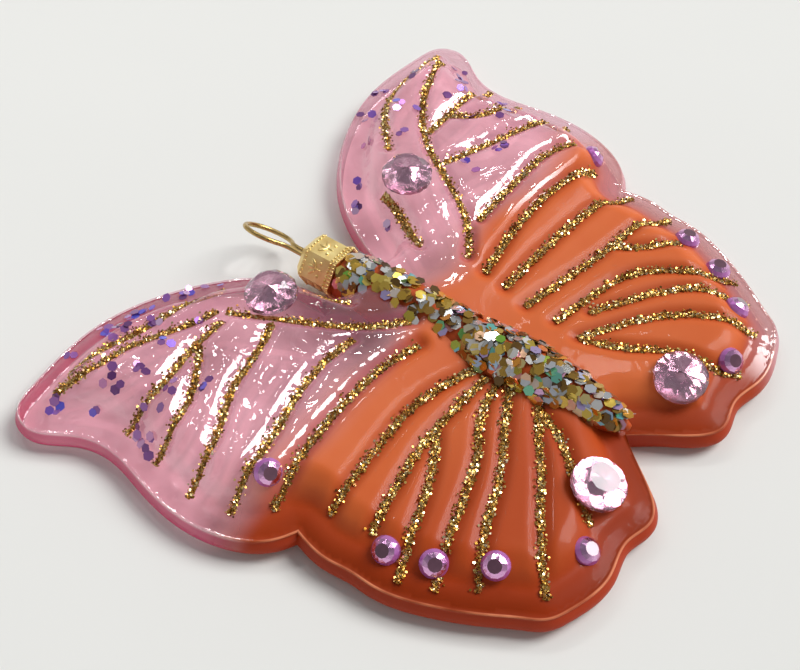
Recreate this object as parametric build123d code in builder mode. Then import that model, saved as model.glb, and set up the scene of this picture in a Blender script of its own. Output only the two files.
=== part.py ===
"""Blown glass butterfly ornament with a metal neck cap, a spring wire hanger and glued trim.

Frame: millimetres, +Z up, +Y towards the neck, +X towards the right wing, and the flat underside on Z = 0.
"""

import math
import os

from build123d import *

# Glass shell
WING_SPAN = 128.0
WING_LENGTH = 105.0
GLASS_WALL = 1.2
SEAM_HEIGHT = 4.5
FORE_DOME_HEIGHT = 11.5
FORE_DOME_RADIUS = 96.0
HIND_DOME_HEIGHT = 9.0
HIND_DOME_RADIUS = 110.0

# Body ridge, leaning a little towards the left wing as the neck does
BODY_LENGTH = 62.0
BODY_LEAN = 3.4
AXIS_HEIGHT = 7.2
TAIL_RADIUS = 1.6
ABDOMEN_RADIUS = 5.4
WAIST_RADIUS = 4.9
THORAX_RADIUS = 6.0
SHOULDER_RADIUS = 4.6

# Neck, cap and hanger
NECK_RADIUS = 4.0
NECK_LENGTH = 7.4
CAP_CLEARANCE = 0.25
CAP_WALL = 0.35
CAP_LENGTH = 8.6
CAP_SHOULDER = 1.3
CAP_TURN = 7.0
CAP_RIM_REACH = 0.35
CAP_RIM_LENGTH = 0.9
WIRE_DIAMETER = 1.0
WIRE_CLEARANCE = 0.08
LEG_SPACING = 3.2
LEG_SPREAD = 6.4
LEG_INSIDE = 15.0
LEG_STRAIGHT = 11.0
LOOP_REACH = 15.5
NECK_BEND = 3.0
LOOP_WIDTH = 10.0
LOOP_TURN = 43.5

# Glued trim
LARGE_GEM = 10.0
LARGE_GEM_HEIGHT = 3.2
SMALL_GEM = 5.0
SMALL_GEM_HEIGHT = 1.8
GEM_SINK = 0.4
VEIN_WIDTH = 2.0
VEIN_HEIGHT = 0.6
TRIM_GAP = 0.3
SEQUIN_WIDTH = 2.2
SEQUIN_THICKNESS = 0.12
SEQUIN_GAP = 0.15
SEQUIN_LIFT = 0.04

# Outlines and places, as shares of the half span and the half length
FORE_RIM_SHARES = (
    (0.086, 0.42), (0.195, 0.665), (0.367, 0.855), (0.64, 0.988), (0.906, 0.971), (0.977, 0.94), (1.0, 0.878),
    (0.938, 0.716), (0.909, 0.54), (0.927, 0.41), (0.942, 0.22), (0.92, 0.065), (0.841, -0.086), (0.781, -0.128),
)
HIND_RIM_SHARES = (
    (0.781, -0.128), (0.797, -0.26), (0.786, -0.36), (0.784, -0.43), (0.74, -0.613), (0.664, -0.785),
    (0.622, -0.865), (0.585, -0.93), (0.53, -0.965), (0.39, -0.998), (0.28, -0.975), (0.19, -0.996),
    (0.10, -0.912), (0.034, -0.808), (0.0, -0.76),
)
FORE_DOME_SHARE = (0.50, 0.45)
HIND_DOME_SHARE = (0.375, -0.455)
TAIL_SHARE = -0.77
LARGE_GEM_SHARES = {
    "left_fore_large_gem": (-0.305, 0.49), "right_fore_large_gem": (0.307, 0.472),
    "left_hind_large_gem": (-0.219, -0.815), "right_hind_large_gem": (0.213, -0.802),
}
SMALL_GEM_SHARES = {
    "left_fore_small_gem": (-0.743, 0.03), "right_fore_small_gem": (0.82, 0.034),
    "left_hind_gem_1": (-0.70, -0.41), "right_hind_gem_1": (0.715, -0.475),
    "left_hind_gem_2": (-0.656, -0.558), "right_hind_gem_2": (0.665, -0.64),
    "left_hind_gem_3": (-0.57, -0.72), "right_hind_gem_3": (0.558, -0.79),
    "left_hind_gem_4": (-0.38, -0.905), "right_hind_gem_4": (0.377, -0.89),
}
VEIN_SHARES = {
    "left_fore_vein_edge": [((-0.31, 0.73), (-0.44, 0.735), (-0.62, 0.775), (-0.83, 0.87))],
    "left_fore_vein_root": [((-0.18, 0.49), (-0.19, 0.37), (-0.17, 0.27))],
    "left_fore_vein_cross": [((-0.11, 0.05), (-0.21, 0.16), (-0.29, 0.29), (-0.35, 0.41), (-0.42, 0.58))],
    "left_fore_vein_1": [((-0.43, 0.61), (-0.54, 0.67), (-0.67, 0.75), (-0.80, 0.79), (-0.90, 0.855))],
    "left_fore_vein_2": [
        ((-0.45, 0.565), (-0.56, 0.57), (-0.72, 0.545), (-0.86, 0.56)),
        ((-0.55, 0.56), (-0.62, 0.49), (-0.76, 0.41), (-0.88, 0.40)),
    ],
    "left_fore_vein_3": [((-0.375, 0.41), (-0.47, 0.38), (-0.59, 0.35), (-0.77, 0.245), (-0.90, 0.225))],
    "left_fore_vein_4": [((-0.265, 0.158), (-0.38, 0.172), (-0.49, 0.16), (-0.68, 0.105), (-0.87, 0.075))],
    "left_fore_vein_5": [((-0.16, -0.03), (-0.28, 0.005), (-0.42, 0.015), (-0.60, 0.0), (-0.79, -0.03))],
    "left_hind_vein_1": [((-0.10, -0.235), (-0.20, -0.19), (-0.33, -0.16), (-0.50, -0.168), (-0.71, -0.19))],
    "left_hind_vein_2": [
        ((-0.11, -0.278), (-0.26, -0.27), (-0.41, -0.275), (-0.55, -0.305), (-0.69, -0.34)),
        ((-0.34, -0.275), (-0.46, -0.365), (-0.59, -0.43), (-0.75, -0.50)),
    ],
    "left_hind_vein_3": [((-0.10, -0.32), (-0.23, -0.36), (-0.34, -0.44), (-0.51, -0.52), (-0.71, -0.61))],
    "left_hind_vein_4": [((-0.10, -0.36), (-0.25, -0.47), (-0.38, -0.56), (-0.50, -0.62), (-0.645, -0.72))],
    "left_hind_vein_5": [
        ((-0.10, -0.48), (-0.20, -0.57), (-0.31, -0.67), (-0.42, -0.76), (-0.555, -0.90)),
        ((-0.115, -0.50), (-0.17, -0.64), (-0.25, -0.75), (-0.315, -0.87)),
    ],
    "right_fore_vein_edge": [((0.93, 0.905), (0.80, 0.91), (0.67, 0.89), (0.55, 0.82), (0.39, 0.64))],
    "right_fore_vein_root": [((0.245, 0.53), (0.20, 0.40), (0.13, 0.24))],
    "right_fore_vein_1": [
        ((0.87, 0.825), (0.72, 0.76), (0.61, 0.685), (0.47, 0.52), (0.38, 0.34), (0.29, 0.175), (0.18, 0.07)),
        ((0.53, 0.58), (0.65, 0.585), (0.76, 0.585), (0.90, 0.595)),
        ((0.64, 0.575), (0.72, 0.47), (0.79, 0.445), (0.89, 0.45)),
    ],
    "right_fore_vein_2": [((0.445, 0.425), (0.56, 0.38), (0.67, 0.335), (0.78, 0.28), (0.90, 0.21))],
    "right_fore_vein_3": [((0.32, 0.147), (0.42, 0.152), (0.55, 0.155), (0.66, 0.155), (0.79, 0.095))],
    "right_fore_vein_4": [((0.17, -0.015), (0.30, 0.01), (0.54, 0.025), (0.66, 0.005), (0.77, -0.02))],
    "right_hind_vein_1": [((0.17, -0.105), (0.37, -0.11), (0.54, -0.125), (0.68, -0.155), (0.765, -0.20))],
    "right_hind_vein_2": [
        ((0.16, -0.205), (0.31, -0.24), (0.50, -0.285), (0.67, -0.32), (0.755, -0.375)),
        ((0.51, -0.285), (0.58, -0.39), (0.67, -0.475)),
    ],
    "right_hind_vein_3": [((0.17, -0.325), (0.31, -0.36), (0.47, -0.43), (0.56, -0.55), (0.655, -0.73))],
    "right_hind_vein_4": [((0.26, -0.395), (0.37, -0.48), (0.51, -0.61), (0.595, -0.82))],
    "right_hind_vein_5": [
        ((0.16, -0.43), (0.27, -0.51), (0.41, -0.65), (0.47, -0.76), (0.515, -0.905)),
        ((0.165, -0.45), (0.22, -0.60), (0.285, -0.72), (0.325, -0.87), (0.36, -0.95)),
    ],
}
CONFETTI_SHARES = {
    "left_confetti": (
        (-0.57, 0.93), (-0.53, 0.89), (-0.39, 0.83), (-0.46, 0.88), (-0.32, 0.80), (-0.65, 0.92), (-0.64, 0.82),
        (-0.57, 0.75), (-0.49, 0.62), (-0.78, 0.94), (-0.77, 0.70), (-0.73, 0.64), (-0.85, 0.74), (-0.92, 0.82),
        (-0.81, 0.64), (-0.60, 0.63), (-0.70, 0.50), (-0.77, 0.49), (-0.64, 0.42), (-0.84, 0.50), (-0.85, 0.46),
    ),
    "right_confetti": (
        (0.90, 0.77), (0.81, 0.69), (0.77, 0.65), (0.70, 0.67), (0.67, 0.50), (0.72, 0.83), (0.66, 0.95),
        (0.53, 0.91), (0.47, 0.63), (0.57, 0.74), (0.42, 0.78), (0.28, 0.68), (0.20, 0.60), (0.15, 0.43),
        (0.86, 0.51), (0.73, 0.40), (0.61, 0.29), (0.48, 0.33),
    ),
}
CONFETTI_TURN = 17.0
SEQUIN_ARC = 66.0

# Counts
BODY_SAMPLES = 25
GEM_SIDES = 12
HEX = 6
RIGHT_ANGLE = 90.0
GEM_GIRDLE_SHARE = 0.25
GEM_TIER_SHARES = ((0.25, 1.0), (0.7, 0.82), (1.0, 0.5))

# Worked out from the sizes above
HALF_SPAN = WING_SPAN / 2
HALF_LENGTH = WING_LENGTH / 2
OVERRUN = THORAX_RADIUS
TOP_LIMIT = FORE_DOME_HEIGHT + OVERRUN
CONFETTI_LIFT = VEIN_HEIGHT + SEQUIN_LIFT
BORE_RADIUS = NECK_RADIUS - GLASS_WALL
CAP_INNER = NECK_RADIUS + CAP_CLEARANCE
CAP_OUTER = CAP_INNER + CAP_WALL
CAP_START = BODY_LENGTH + CAP_CLEARANCE
CAP_END = CAP_START + CAP_LENGTH
CAP_ROOM = (CAP_OUTER + CAP_RIM_REACH) / math.cos(math.pi / HEX) + CAP_CLEARANCE
WIRE_RADIUS = WIRE_DIAMETER / 2

# The stations of the body ridge from the tail to the neck, as shares of its length, with their radii
BODY_STATION_SHARES = (0.0, 0.36, 0.55, 0.80, 1.0)
BODY_STATION_RADII = (TAIL_RADIUS, ABDOMEN_RADIUS, WAIST_RADIUS, THORAX_RADIUS, SHOULDER_RADIUS)


def place(share):
    """The plan position of a pair of shares."""
    return (share[0] * HALF_SPAN, share[1] * HALF_LENGTH)


def smooth(value):
    """A step from 0 to 1 with flat ends."""
    value = min(max(value, 0.0), 1.0)
    return value * value * (3 - 2 * value)


fore_points = [place(share) for share in FORE_RIM_SHARES]
hind_points = [place(share) for share in HIND_RIM_SHARES]
domes = [(FORE_DOME_SHARE, FORE_DOME_HEIGHT, FORE_DOME_RADIUS), (HIND_DOME_SHARE, HIND_DOME_HEIGHT, HIND_DOME_RADIUS)]


def top_height(x, y):
    """The height of the wings' upper face: the higher of the two domes, or the flat edge round them."""
    height = SEAM_HEIGHT
    for share, top, radius in domes:
        centre_x, centre_y = place(share)
        square = (abs(x) - centre_x) ** 2 + (y - centre_y) ** 2
        height = max(height, top - radius + math.sqrt(radius**2 - square))
    return height


def rim_route(inset):
    """The points of the right wings' outline, moved in by an inset, for the forewing and the hindwing."""
    points = fore_points + hind_points[1:]
    moved = [(points[0][0], points[0][1] - inset)]
    for (x_a, y_a), (x, y), (x_b, y_b) in zip(points, points[1:], points[2:]):
        run = math.hypot(x_b - x_a, y_b - y_a)
        moved.append((x + inset * (y_b - y_a) / run, y - inset * (x_b - x_a) / run))
    moved.append((0, points[-1][1] + inset))
    return moved[: len(fore_points)], moved[len(fore_points) - 1 :]


def wing_form(inset):
    """Both wings as one solid, moved in from the glass face by an inset, or out where it is below zero."""
    fore_route, hind_route = rim_route(max(inset, 0))
    with BuildSketch() as outline:
        with BuildLine():
            Spline(*fore_route)
            Spline(*hind_route)
            Spline(*[(-x, y) for x, y in hind_route])
            Spline(*[(-x, y) for x, y in fore_route])
            Line((-fore_route[0][0], fore_route[0][1]), fore_route[0])
        make_face()
    with BuildPart() as dome:
        for share, top, radius in domes:
            x, y = place(share)
            with Locations((x, y, top - radius), (-x, y, top - radius)):
                Sphere(radius - inset, rotation=(RIGHT_ANGLE, 0, 0))
        extrude(outline.sketch, amount=TOP_LIMIT, mode=Mode.INTERSECT)
    with BuildPart() as form:
        extrude(outline.sketch, amount=SEAM_HEIGHT - inset)
        add(dome.part)
        if inset > 0:
            with BuildSketch(Plane.XY.offset(inset)):
                Rectangle(WING_SPAN, WING_LENGTH)
            extrude(amount=-TOP_LIMIT, mode=Mode.SUBTRACT)
        with BuildSketch(body_plane.offset(BODY_LENGTH - max(inset, 0))):
            Circle(CAP_ROOM + inset)
        extrude(amount=CAP_LENGTH + OVERRUN, mode=Mode.SUBTRACT)
    return form.part


def body_radius(along):
    """The radius of the body ridge at a distance from its tail."""
    share = along / BODY_LENGTH
    spans = list(zip(BODY_STATION_SHARES, BODY_STATION_SHARES[1:], BODY_STATION_RADII, BODY_STATION_RADII[1:]))
    for number, (start, end, radius_a, radius_b) in enumerate(spans):
        if share <= end or number == len(spans) - 1:
            step = (share - start) / (end - start)
            blend = math.sin(math.pi / 2 * step) if number == 0 else smooth(step)
            return radius_a + (radius_b - radius_a) * blend


# The body frame: Z runs along the body from the tail to the neck, X points to the left wing and Y up
lean = math.radians(BODY_LEAN)
body_plane = Plane(
    origin=(0, TAIL_SHARE * HALF_LENGTH, AXIS_HEIGHT),
    x_dir=(-math.cos(lean), -math.sin(lean), 0),
    z_dir=(-math.sin(lean), math.cos(lean), 0),
)
body_axis = Axis(body_plane.origin, body_plane.z_dir)
# The same origin with X along the body and Y up
profile_plane = Plane(origin=body_plane.origin, x_dir=body_plane.z_dir, z_dir=-body_plane.x_dir)


def across_body(turn):
    """The direction square to the body axis, turned from the left wing's side towards the top."""
    angle = math.radians(turn)
    return body_plane.x_dir * math.cos(angle) + body_plane.y_dir * math.sin(angle)


# The plane of the hanger loop: X across the loop and Y along the body
loop_plane = Plane(
    origin=body_plane.origin,
    x_dir=across_body(LOOP_TURN),
    z_dir=across_body(LOOP_TURN).cross(body_plane.z_dir),
)


def body_form(inset):
    """The body ridge as a turned solid, moved in from the glass face by an inset."""
    steps = [inset + (BODY_LENGTH - inset) * step / (BODY_SAMPLES - 1) for step in range(BODY_SAMPLES)]
    points = [(along, max(body_radius(along) - inset, WIRE_RADIUS)) for along in steps]
    with BuildPart() as form:
        with BuildSketch(profile_plane):
            with BuildLine():
                Spline(*points)
                Polyline(points[-1], (BODY_LENGTH, 0), (inset, 0), points[0])
            make_face()
        revolve(axis=body_axis)
    return form.part


# Forms that the pieces share
wing_outer = wing_form(0)
wing_inner = wing_form(GLASS_WALL)
glitter_top = wing_form(-VEIN_HEIGHT)
body_outer = body_form(0)
body_inner = body_form(GLASS_WALL)
body_clear = body_form(-TRIM_GAP)

pieces = []


def keep(piece, name):
    """Label a finished piece and put it on the list of pieces to write."""
    piece.label = name
    pieces.append(piece)


# The blown shell: two wings and the body as one hollow, with an open neck
with BuildPart() as hollow:
    add(wing_inner)
    add(body_inner)
    with BuildSketch(body_plane.offset(BODY_LENGTH - OVERRUN)):
        Circle(BORE_RADIUS)
    extrude(amount=NECK_LENGTH + OVERRUN)

with BuildPart() as glass_shell:
    add(wing_outer)
    add(body_outer)
    with BuildSketch(body_plane.offset(BODY_LENGTH - GLASS_WALL)):
        Circle(NECK_RADIUS)
    extrude(amount=NECK_LENGTH + GLASS_WALL)
    add(hollow.part, mode=Mode.SUBTRACT)
keep(glass_shell.part, "glass_shell")

# The six-sided stamped cap over the neck, with a turned-out rim and two wire holes
with BuildPart() as neck_cap:
    with BuildSketch(body_plane.offset(CAP_START)):
        RegularPolygon(CAP_OUTER, HEX, major_radius=False, rotation=CAP_TURN)
    extrude(amount=CAP_LENGTH)
    chamfer(neck_cap.faces().sort_by(body_axis)[-1].edges(), CAP_SHOULDER)
    with BuildSketch(body_plane.offset(CAP_START)):
        RegularPolygon(CAP_OUTER + CAP_RIM_REACH, HEX, major_radius=False, rotation=CAP_TURN)
    extrude(amount=CAP_RIM_LENGTH)
    with BuildSketch(body_plane.offset(CAP_START)):
        Circle(CAP_INNER)
    extrude(amount=CAP_LENGTH - CAP_SHOULDER, mode=Mode.SUBTRACT)
    with BuildSketch(body_plane.offset(CAP_START)):
        Circle(CAP_INNER - CAP_SHOULDER)
    extrude(amount=CAP_LENGTH - CAP_WALL, mode=Mode.SUBTRACT)
    with BuildSketch(Plane(origin=body_plane.origin, x_dir=loop_plane.x_dir, z_dir=body_plane.z_dir)):
        with GridLocations(LEG_SPACING, 0, 2, 1):
            Circle(WIRE_RADIUS + WIRE_CLEARANCE)
    extrude(amount=CAP_END + OVERRUN, mode=Mode.SUBTRACT)
keep(neck_cap.part, "neck_cap")

# The spring wire: a loop outside the cap and two legs that spread inside the body
leg = LEG_SPACING / 2
leg_end = CAP_END - LEG_INSIDE
leg_bend = CAP_END - LEG_STRAIGHT
loop_tip = CAP_END + LOOP_REACH - WIRE_RADIUS
loop_radius = LOOP_WIDTH / 2
loop_centre = loop_tip - loop_radius
# The neck bends on each side turn outward from the legs and run on into the round loop
centres_apart = loop_radius + NECK_BEND
across_apart = leg + NECK_BEND
loop_start = loop_centre - math.sqrt(centres_apart**2 - across_apart**2)
bend_turn = math.degrees(math.acos(across_apart / centres_apart))
# The legs' ends turn outward inside the body
spread_reach = (LEG_SPREAD - LEG_SPACING) / 2
spread_drop = leg_bend - leg_end
spread_turn = 2 * math.degrees(math.atan(spread_reach / spread_drop))
spread_radius = spread_drop / math.sin(math.radians(spread_turn))
with BuildPart() as hanger_wire:
    with BuildLine(loop_plane) as wire_line:
        CenterArc((-leg - spread_radius, leg_bend), spread_radius, 0, -spread_turn)
        Line((-leg, leg_bend), (-leg, loop_start))
        CenterArc((-across_apart, loop_start), NECK_BEND, 0, bend_turn)
        CenterArc((0, loop_centre), loop_radius, -bend_turn, 2 * (RIGHT_ANGLE + bend_turn))
        CenterArc((across_apart, loop_start), NECK_BEND, 2 * RIGHT_ANGLE, -bend_turn)
        Line((leg, leg_bend), (leg, loop_start))
        CenterArc((leg + spread_radius, leg_bend), spread_radius, 2 * RIGHT_ANGLE, spread_turn)
    for run in wire_line.edges():
        with BuildSketch(Plane(origin=run @ 0, z_dir=run % 0)):
            Circle(WIRE_RADIUS)
        sweep(path=run)
keep(hanger_wire.part, "hanger_wire")

# The gems: two tiers of facets, with the underside cut to the glass
gem_sizes = {name: (share, LARGE_GEM, LARGE_GEM_HEIGHT) for name, share in LARGE_GEM_SHARES.items()}
gem_sizes.update({name: (share, SMALL_GEM, SMALL_GEM_HEIGHT) for name, share in SMALL_GEM_SHARES.items()})


def surface_plane(x, y, lift):
    """A plane that lies on the wing's upper face, raised by a lift."""
    step = TRIM_GAP
    slope_x = (top_height(x + step, y) - top_height(x - step, y)) / (2 * step)
    slope_y = (top_height(x, y + step) - top_height(x, y - step)) / (2 * step)
    normal = Vector(-slope_x, -slope_y, 1).normalized()
    return Plane(origin=Vector(x, y, top_height(x, y)) + normal * lift, x_dir=(1, 0, slope_x), z_dir=normal)


gem_planes = {name: surface_plane(*place(share), 0) for name, (share, _, _) in gem_sizes.items()}
for name, (share, width, height) in gem_sizes.items():
    seat = gem_planes[name]
    girdle = height * GEM_GIRDLE_SHARE
    tiers = [(height * rise, width / 2 * reach) for rise, reach in GEM_TIER_SHARES]
    with BuildPart() as gem:
        with BuildSketch(seat.offset(-GEM_SINK)):
            RegularPolygon(width / 2, GEM_SIDES)
        extrude(amount=GEM_SINK + girdle)
        for (low, low_radius), (high, high_radius) in zip(tiers, tiers[1:]):
            with BuildSketch(seat.offset(low)):
                RegularPolygon(low_radius, GEM_SIDES)
            with BuildSketch(seat.offset(high)):
                RegularPolygon(high_radius, GEM_SIDES)
            loft(ruled=True)
        add(wing_outer, mode=Mode.SUBTRACT)
    keep(gem.part, name)

# The room that glitter keeps clear: the gems and the body
with BuildPart() as trim_clear:
    for name, (share, width, height) in gem_sizes.items():
        with BuildSketch(gem_planes[name].offset(-OVERRUN)):
            Circle(width / 2 + TRIM_GAP)
        extrude(amount=OVERRUN + height)
    add(body_clear)

# The glitter veins: ribbons of glue and glitter that follow the glass
for name, routes in VEIN_SHARES.items():
    with BuildPart() as vein:
        for route in routes:
            with BuildSketch():
                with BuildLine():
                    Spline(*[place(share) for share in route])
                trace(line_width=VEIN_WIDTH)
            extrude(amount=TOP_LIMIT)
        add(glitter_top, mode=Mode.INTERSECT)
        add(wing_outer, mode=Mode.SUBTRACT)
        add(trim_clear.part, mode=Mode.SUBTRACT)
    keep(vein.part, name)

# The hexagonal sequins: rows of single plates on the part of the body that stands above the wings
sequin_pitch = SEQUIN_WIDTH * math.cos(math.pi / HEX) + SEQUIN_GAP
sequin_planes = []
row_count = int((BODY_LENGTH - 2 * SEQUIN_WIDTH) / sequin_pitch)
for row in range(row_count):
    along = SEQUIN_WIDTH + row * sequin_pitch
    radius = body_radius(along)
    slope = (body_radius(along + SEQUIN_GAP) - body_radius(along - SEQUIN_GAP)) / (2 * SEQUIN_GAP)
    turn_step = math.degrees((SEQUIN_WIDTH + SEQUIN_GAP) / radius)
    half_count = int(SEQUIN_ARC / turn_step)
    for column in range(-half_count, half_count + 1):
        outward = across_body(RIGHT_ANGLE + column * turn_step)
        normal = (outward - body_plane.z_dir * slope).normalized()
        centre = body_plane.origin + body_plane.z_dir * along + outward * radius + normal * SEQUIN_LIFT
        if centre.Z > top_height(centre.X, centre.Y) + TRIM_GAP:
            sequin_planes.append(Plane(origin=centre, x_dir=outward.cross(body_plane.z_dir), z_dir=normal))

with BuildPart() as body_sequins:
    with BuildSketch(*sequin_planes):
        RegularPolygon(SEQUIN_WIDTH / 2, HEX)
    extrude(amount=SEQUIN_THICKNESS)
keep(body_sequins.part, "body_sequins")

# The loose confetti stuck on the forewings
for name, shares in CONFETTI_SHARES.items():
    with BuildPart() as confetti:
        with BuildSketch(*[surface_plane(*place(share), CONFETTI_LIFT) for share in shares]):
            RegularPolygon(SEQUIN_WIDTH / 2, HEX, rotation=CONFETTI_TURN)
        extrude(amount=SEQUIN_THICKNESS)
    keep(confetti.part, name)

os.makedirs("parts", exist_ok=True)
for piece in pieces:
    export_step(piece, f"parts/{piece.label}.step")
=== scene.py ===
"""Looks of a blown glass butterfly ornament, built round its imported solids.

Sizes are in millimetres in this file and become metres when a mesh is made. The frame is that of the
solids: +Z up, +Y towards the neck and +X towards the right wing, with the underside on Z = 0.
"""

import logging
import math
from dataclasses import dataclass, field
from enum import Enum
from typing import NamedTuple, Optional, Sequence

import bmesh
import bpy
import numpy as np
from mathutils import Matrix, Vector, geometry, noise

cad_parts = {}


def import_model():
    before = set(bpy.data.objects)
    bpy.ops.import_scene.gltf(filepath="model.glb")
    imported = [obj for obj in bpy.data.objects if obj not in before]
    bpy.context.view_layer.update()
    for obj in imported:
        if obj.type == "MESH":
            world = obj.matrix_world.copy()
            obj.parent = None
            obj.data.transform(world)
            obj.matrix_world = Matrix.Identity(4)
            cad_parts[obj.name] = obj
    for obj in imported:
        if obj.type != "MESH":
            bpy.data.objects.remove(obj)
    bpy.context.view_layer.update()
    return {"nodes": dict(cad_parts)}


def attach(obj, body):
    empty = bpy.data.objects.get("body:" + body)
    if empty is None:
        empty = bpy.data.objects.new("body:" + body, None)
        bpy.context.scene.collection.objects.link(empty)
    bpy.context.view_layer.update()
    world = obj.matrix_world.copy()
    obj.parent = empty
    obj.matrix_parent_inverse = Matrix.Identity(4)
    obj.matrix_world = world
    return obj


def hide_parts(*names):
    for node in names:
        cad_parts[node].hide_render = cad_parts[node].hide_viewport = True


logging.basicConfig(level=logging.INFO, format="%(message)s")
LOG = logging.getLogger("butterfly")

MM = 0.001
HALF_SPAN = 64.0
HALF_LENGTH = 52.5
SEAM_HEIGHT = 4.5
SEED = 7
# The least length that is divided by, and how many points are measured at once.
TINY = 1e-9
BLOCK = 2000

Mesh = bpy.types.Mesh
Material = bpy.types.Material
Socket = bpy.types.NodeSocket
Shape = bmesh.types.BMesh
Ring = list[bmesh.types.BMVert]
Place = tuple[float, float, float]
Colour = tuple[float, float, float, float]
Stops = tuple[tuple[float, Colour], ...]
# A share is a plan position in parts of the half span and the half length.
Share = tuple[float, float]
# A band is where a soft step starts and how far it runs.
Band = tuple[float, float]
# A fit is a factor and an offset, and a span is the least and the most of a random draw.
Fit = tuple[float, float]
Span = tuple[float, float]

FORE_RIM: tuple[Share, ...] = (
    (0.086, 0.42), (0.195, 0.665), (0.367, 0.855), (0.64, 0.988), (0.906, 0.971), (0.977, 0.94),
    (1.0, 0.878), (0.938, 0.716), (0.909, 0.54), (0.927, 0.41), (0.942, 0.22), (0.92, 0.065),
    (0.841, -0.086), (0.781, -0.128),
)
HIND_RIM: tuple[Share, ...] = (
    (0.781, -0.128), (0.797, -0.26), (0.786, -0.36), (0.784, -0.43), (0.74, -0.613), (0.664, -0.785),
    (0.622, -0.865), (0.585, -0.93), (0.53, -0.965), (0.39, -0.998), (0.28, -0.975), (0.19, -0.996),
    (0.10, -0.912), (0.034, -0.808), (0.0, -0.76),
)
LARGE_GEMS: dict[str, Share] = {
    "left_fore_large_gem": (-0.305, 0.49), "right_fore_large_gem": (0.307, 0.472),
    "left_hind_large_gem": (-0.219, -0.815), "right_hind_large_gem": (0.213, -0.802),
}
SMALL_GEMS: dict[str, Share] = {
    "left_fore_small_gem": (-0.743, 0.03), "right_fore_small_gem": (0.82, 0.034),
    "left_hind_gem_1": (-0.70, -0.41), "right_hind_gem_1": (0.715, -0.475),
    "left_hind_gem_2": (-0.656, -0.558), "right_hind_gem_2": (0.665, -0.64),
    "left_hind_gem_3": (-0.57, -0.72), "right_hind_gem_3": (0.558, -0.79),
    "left_hind_gem_4": (-0.38, -0.905), "right_hind_gem_4": (0.377, -0.89),
}
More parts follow.
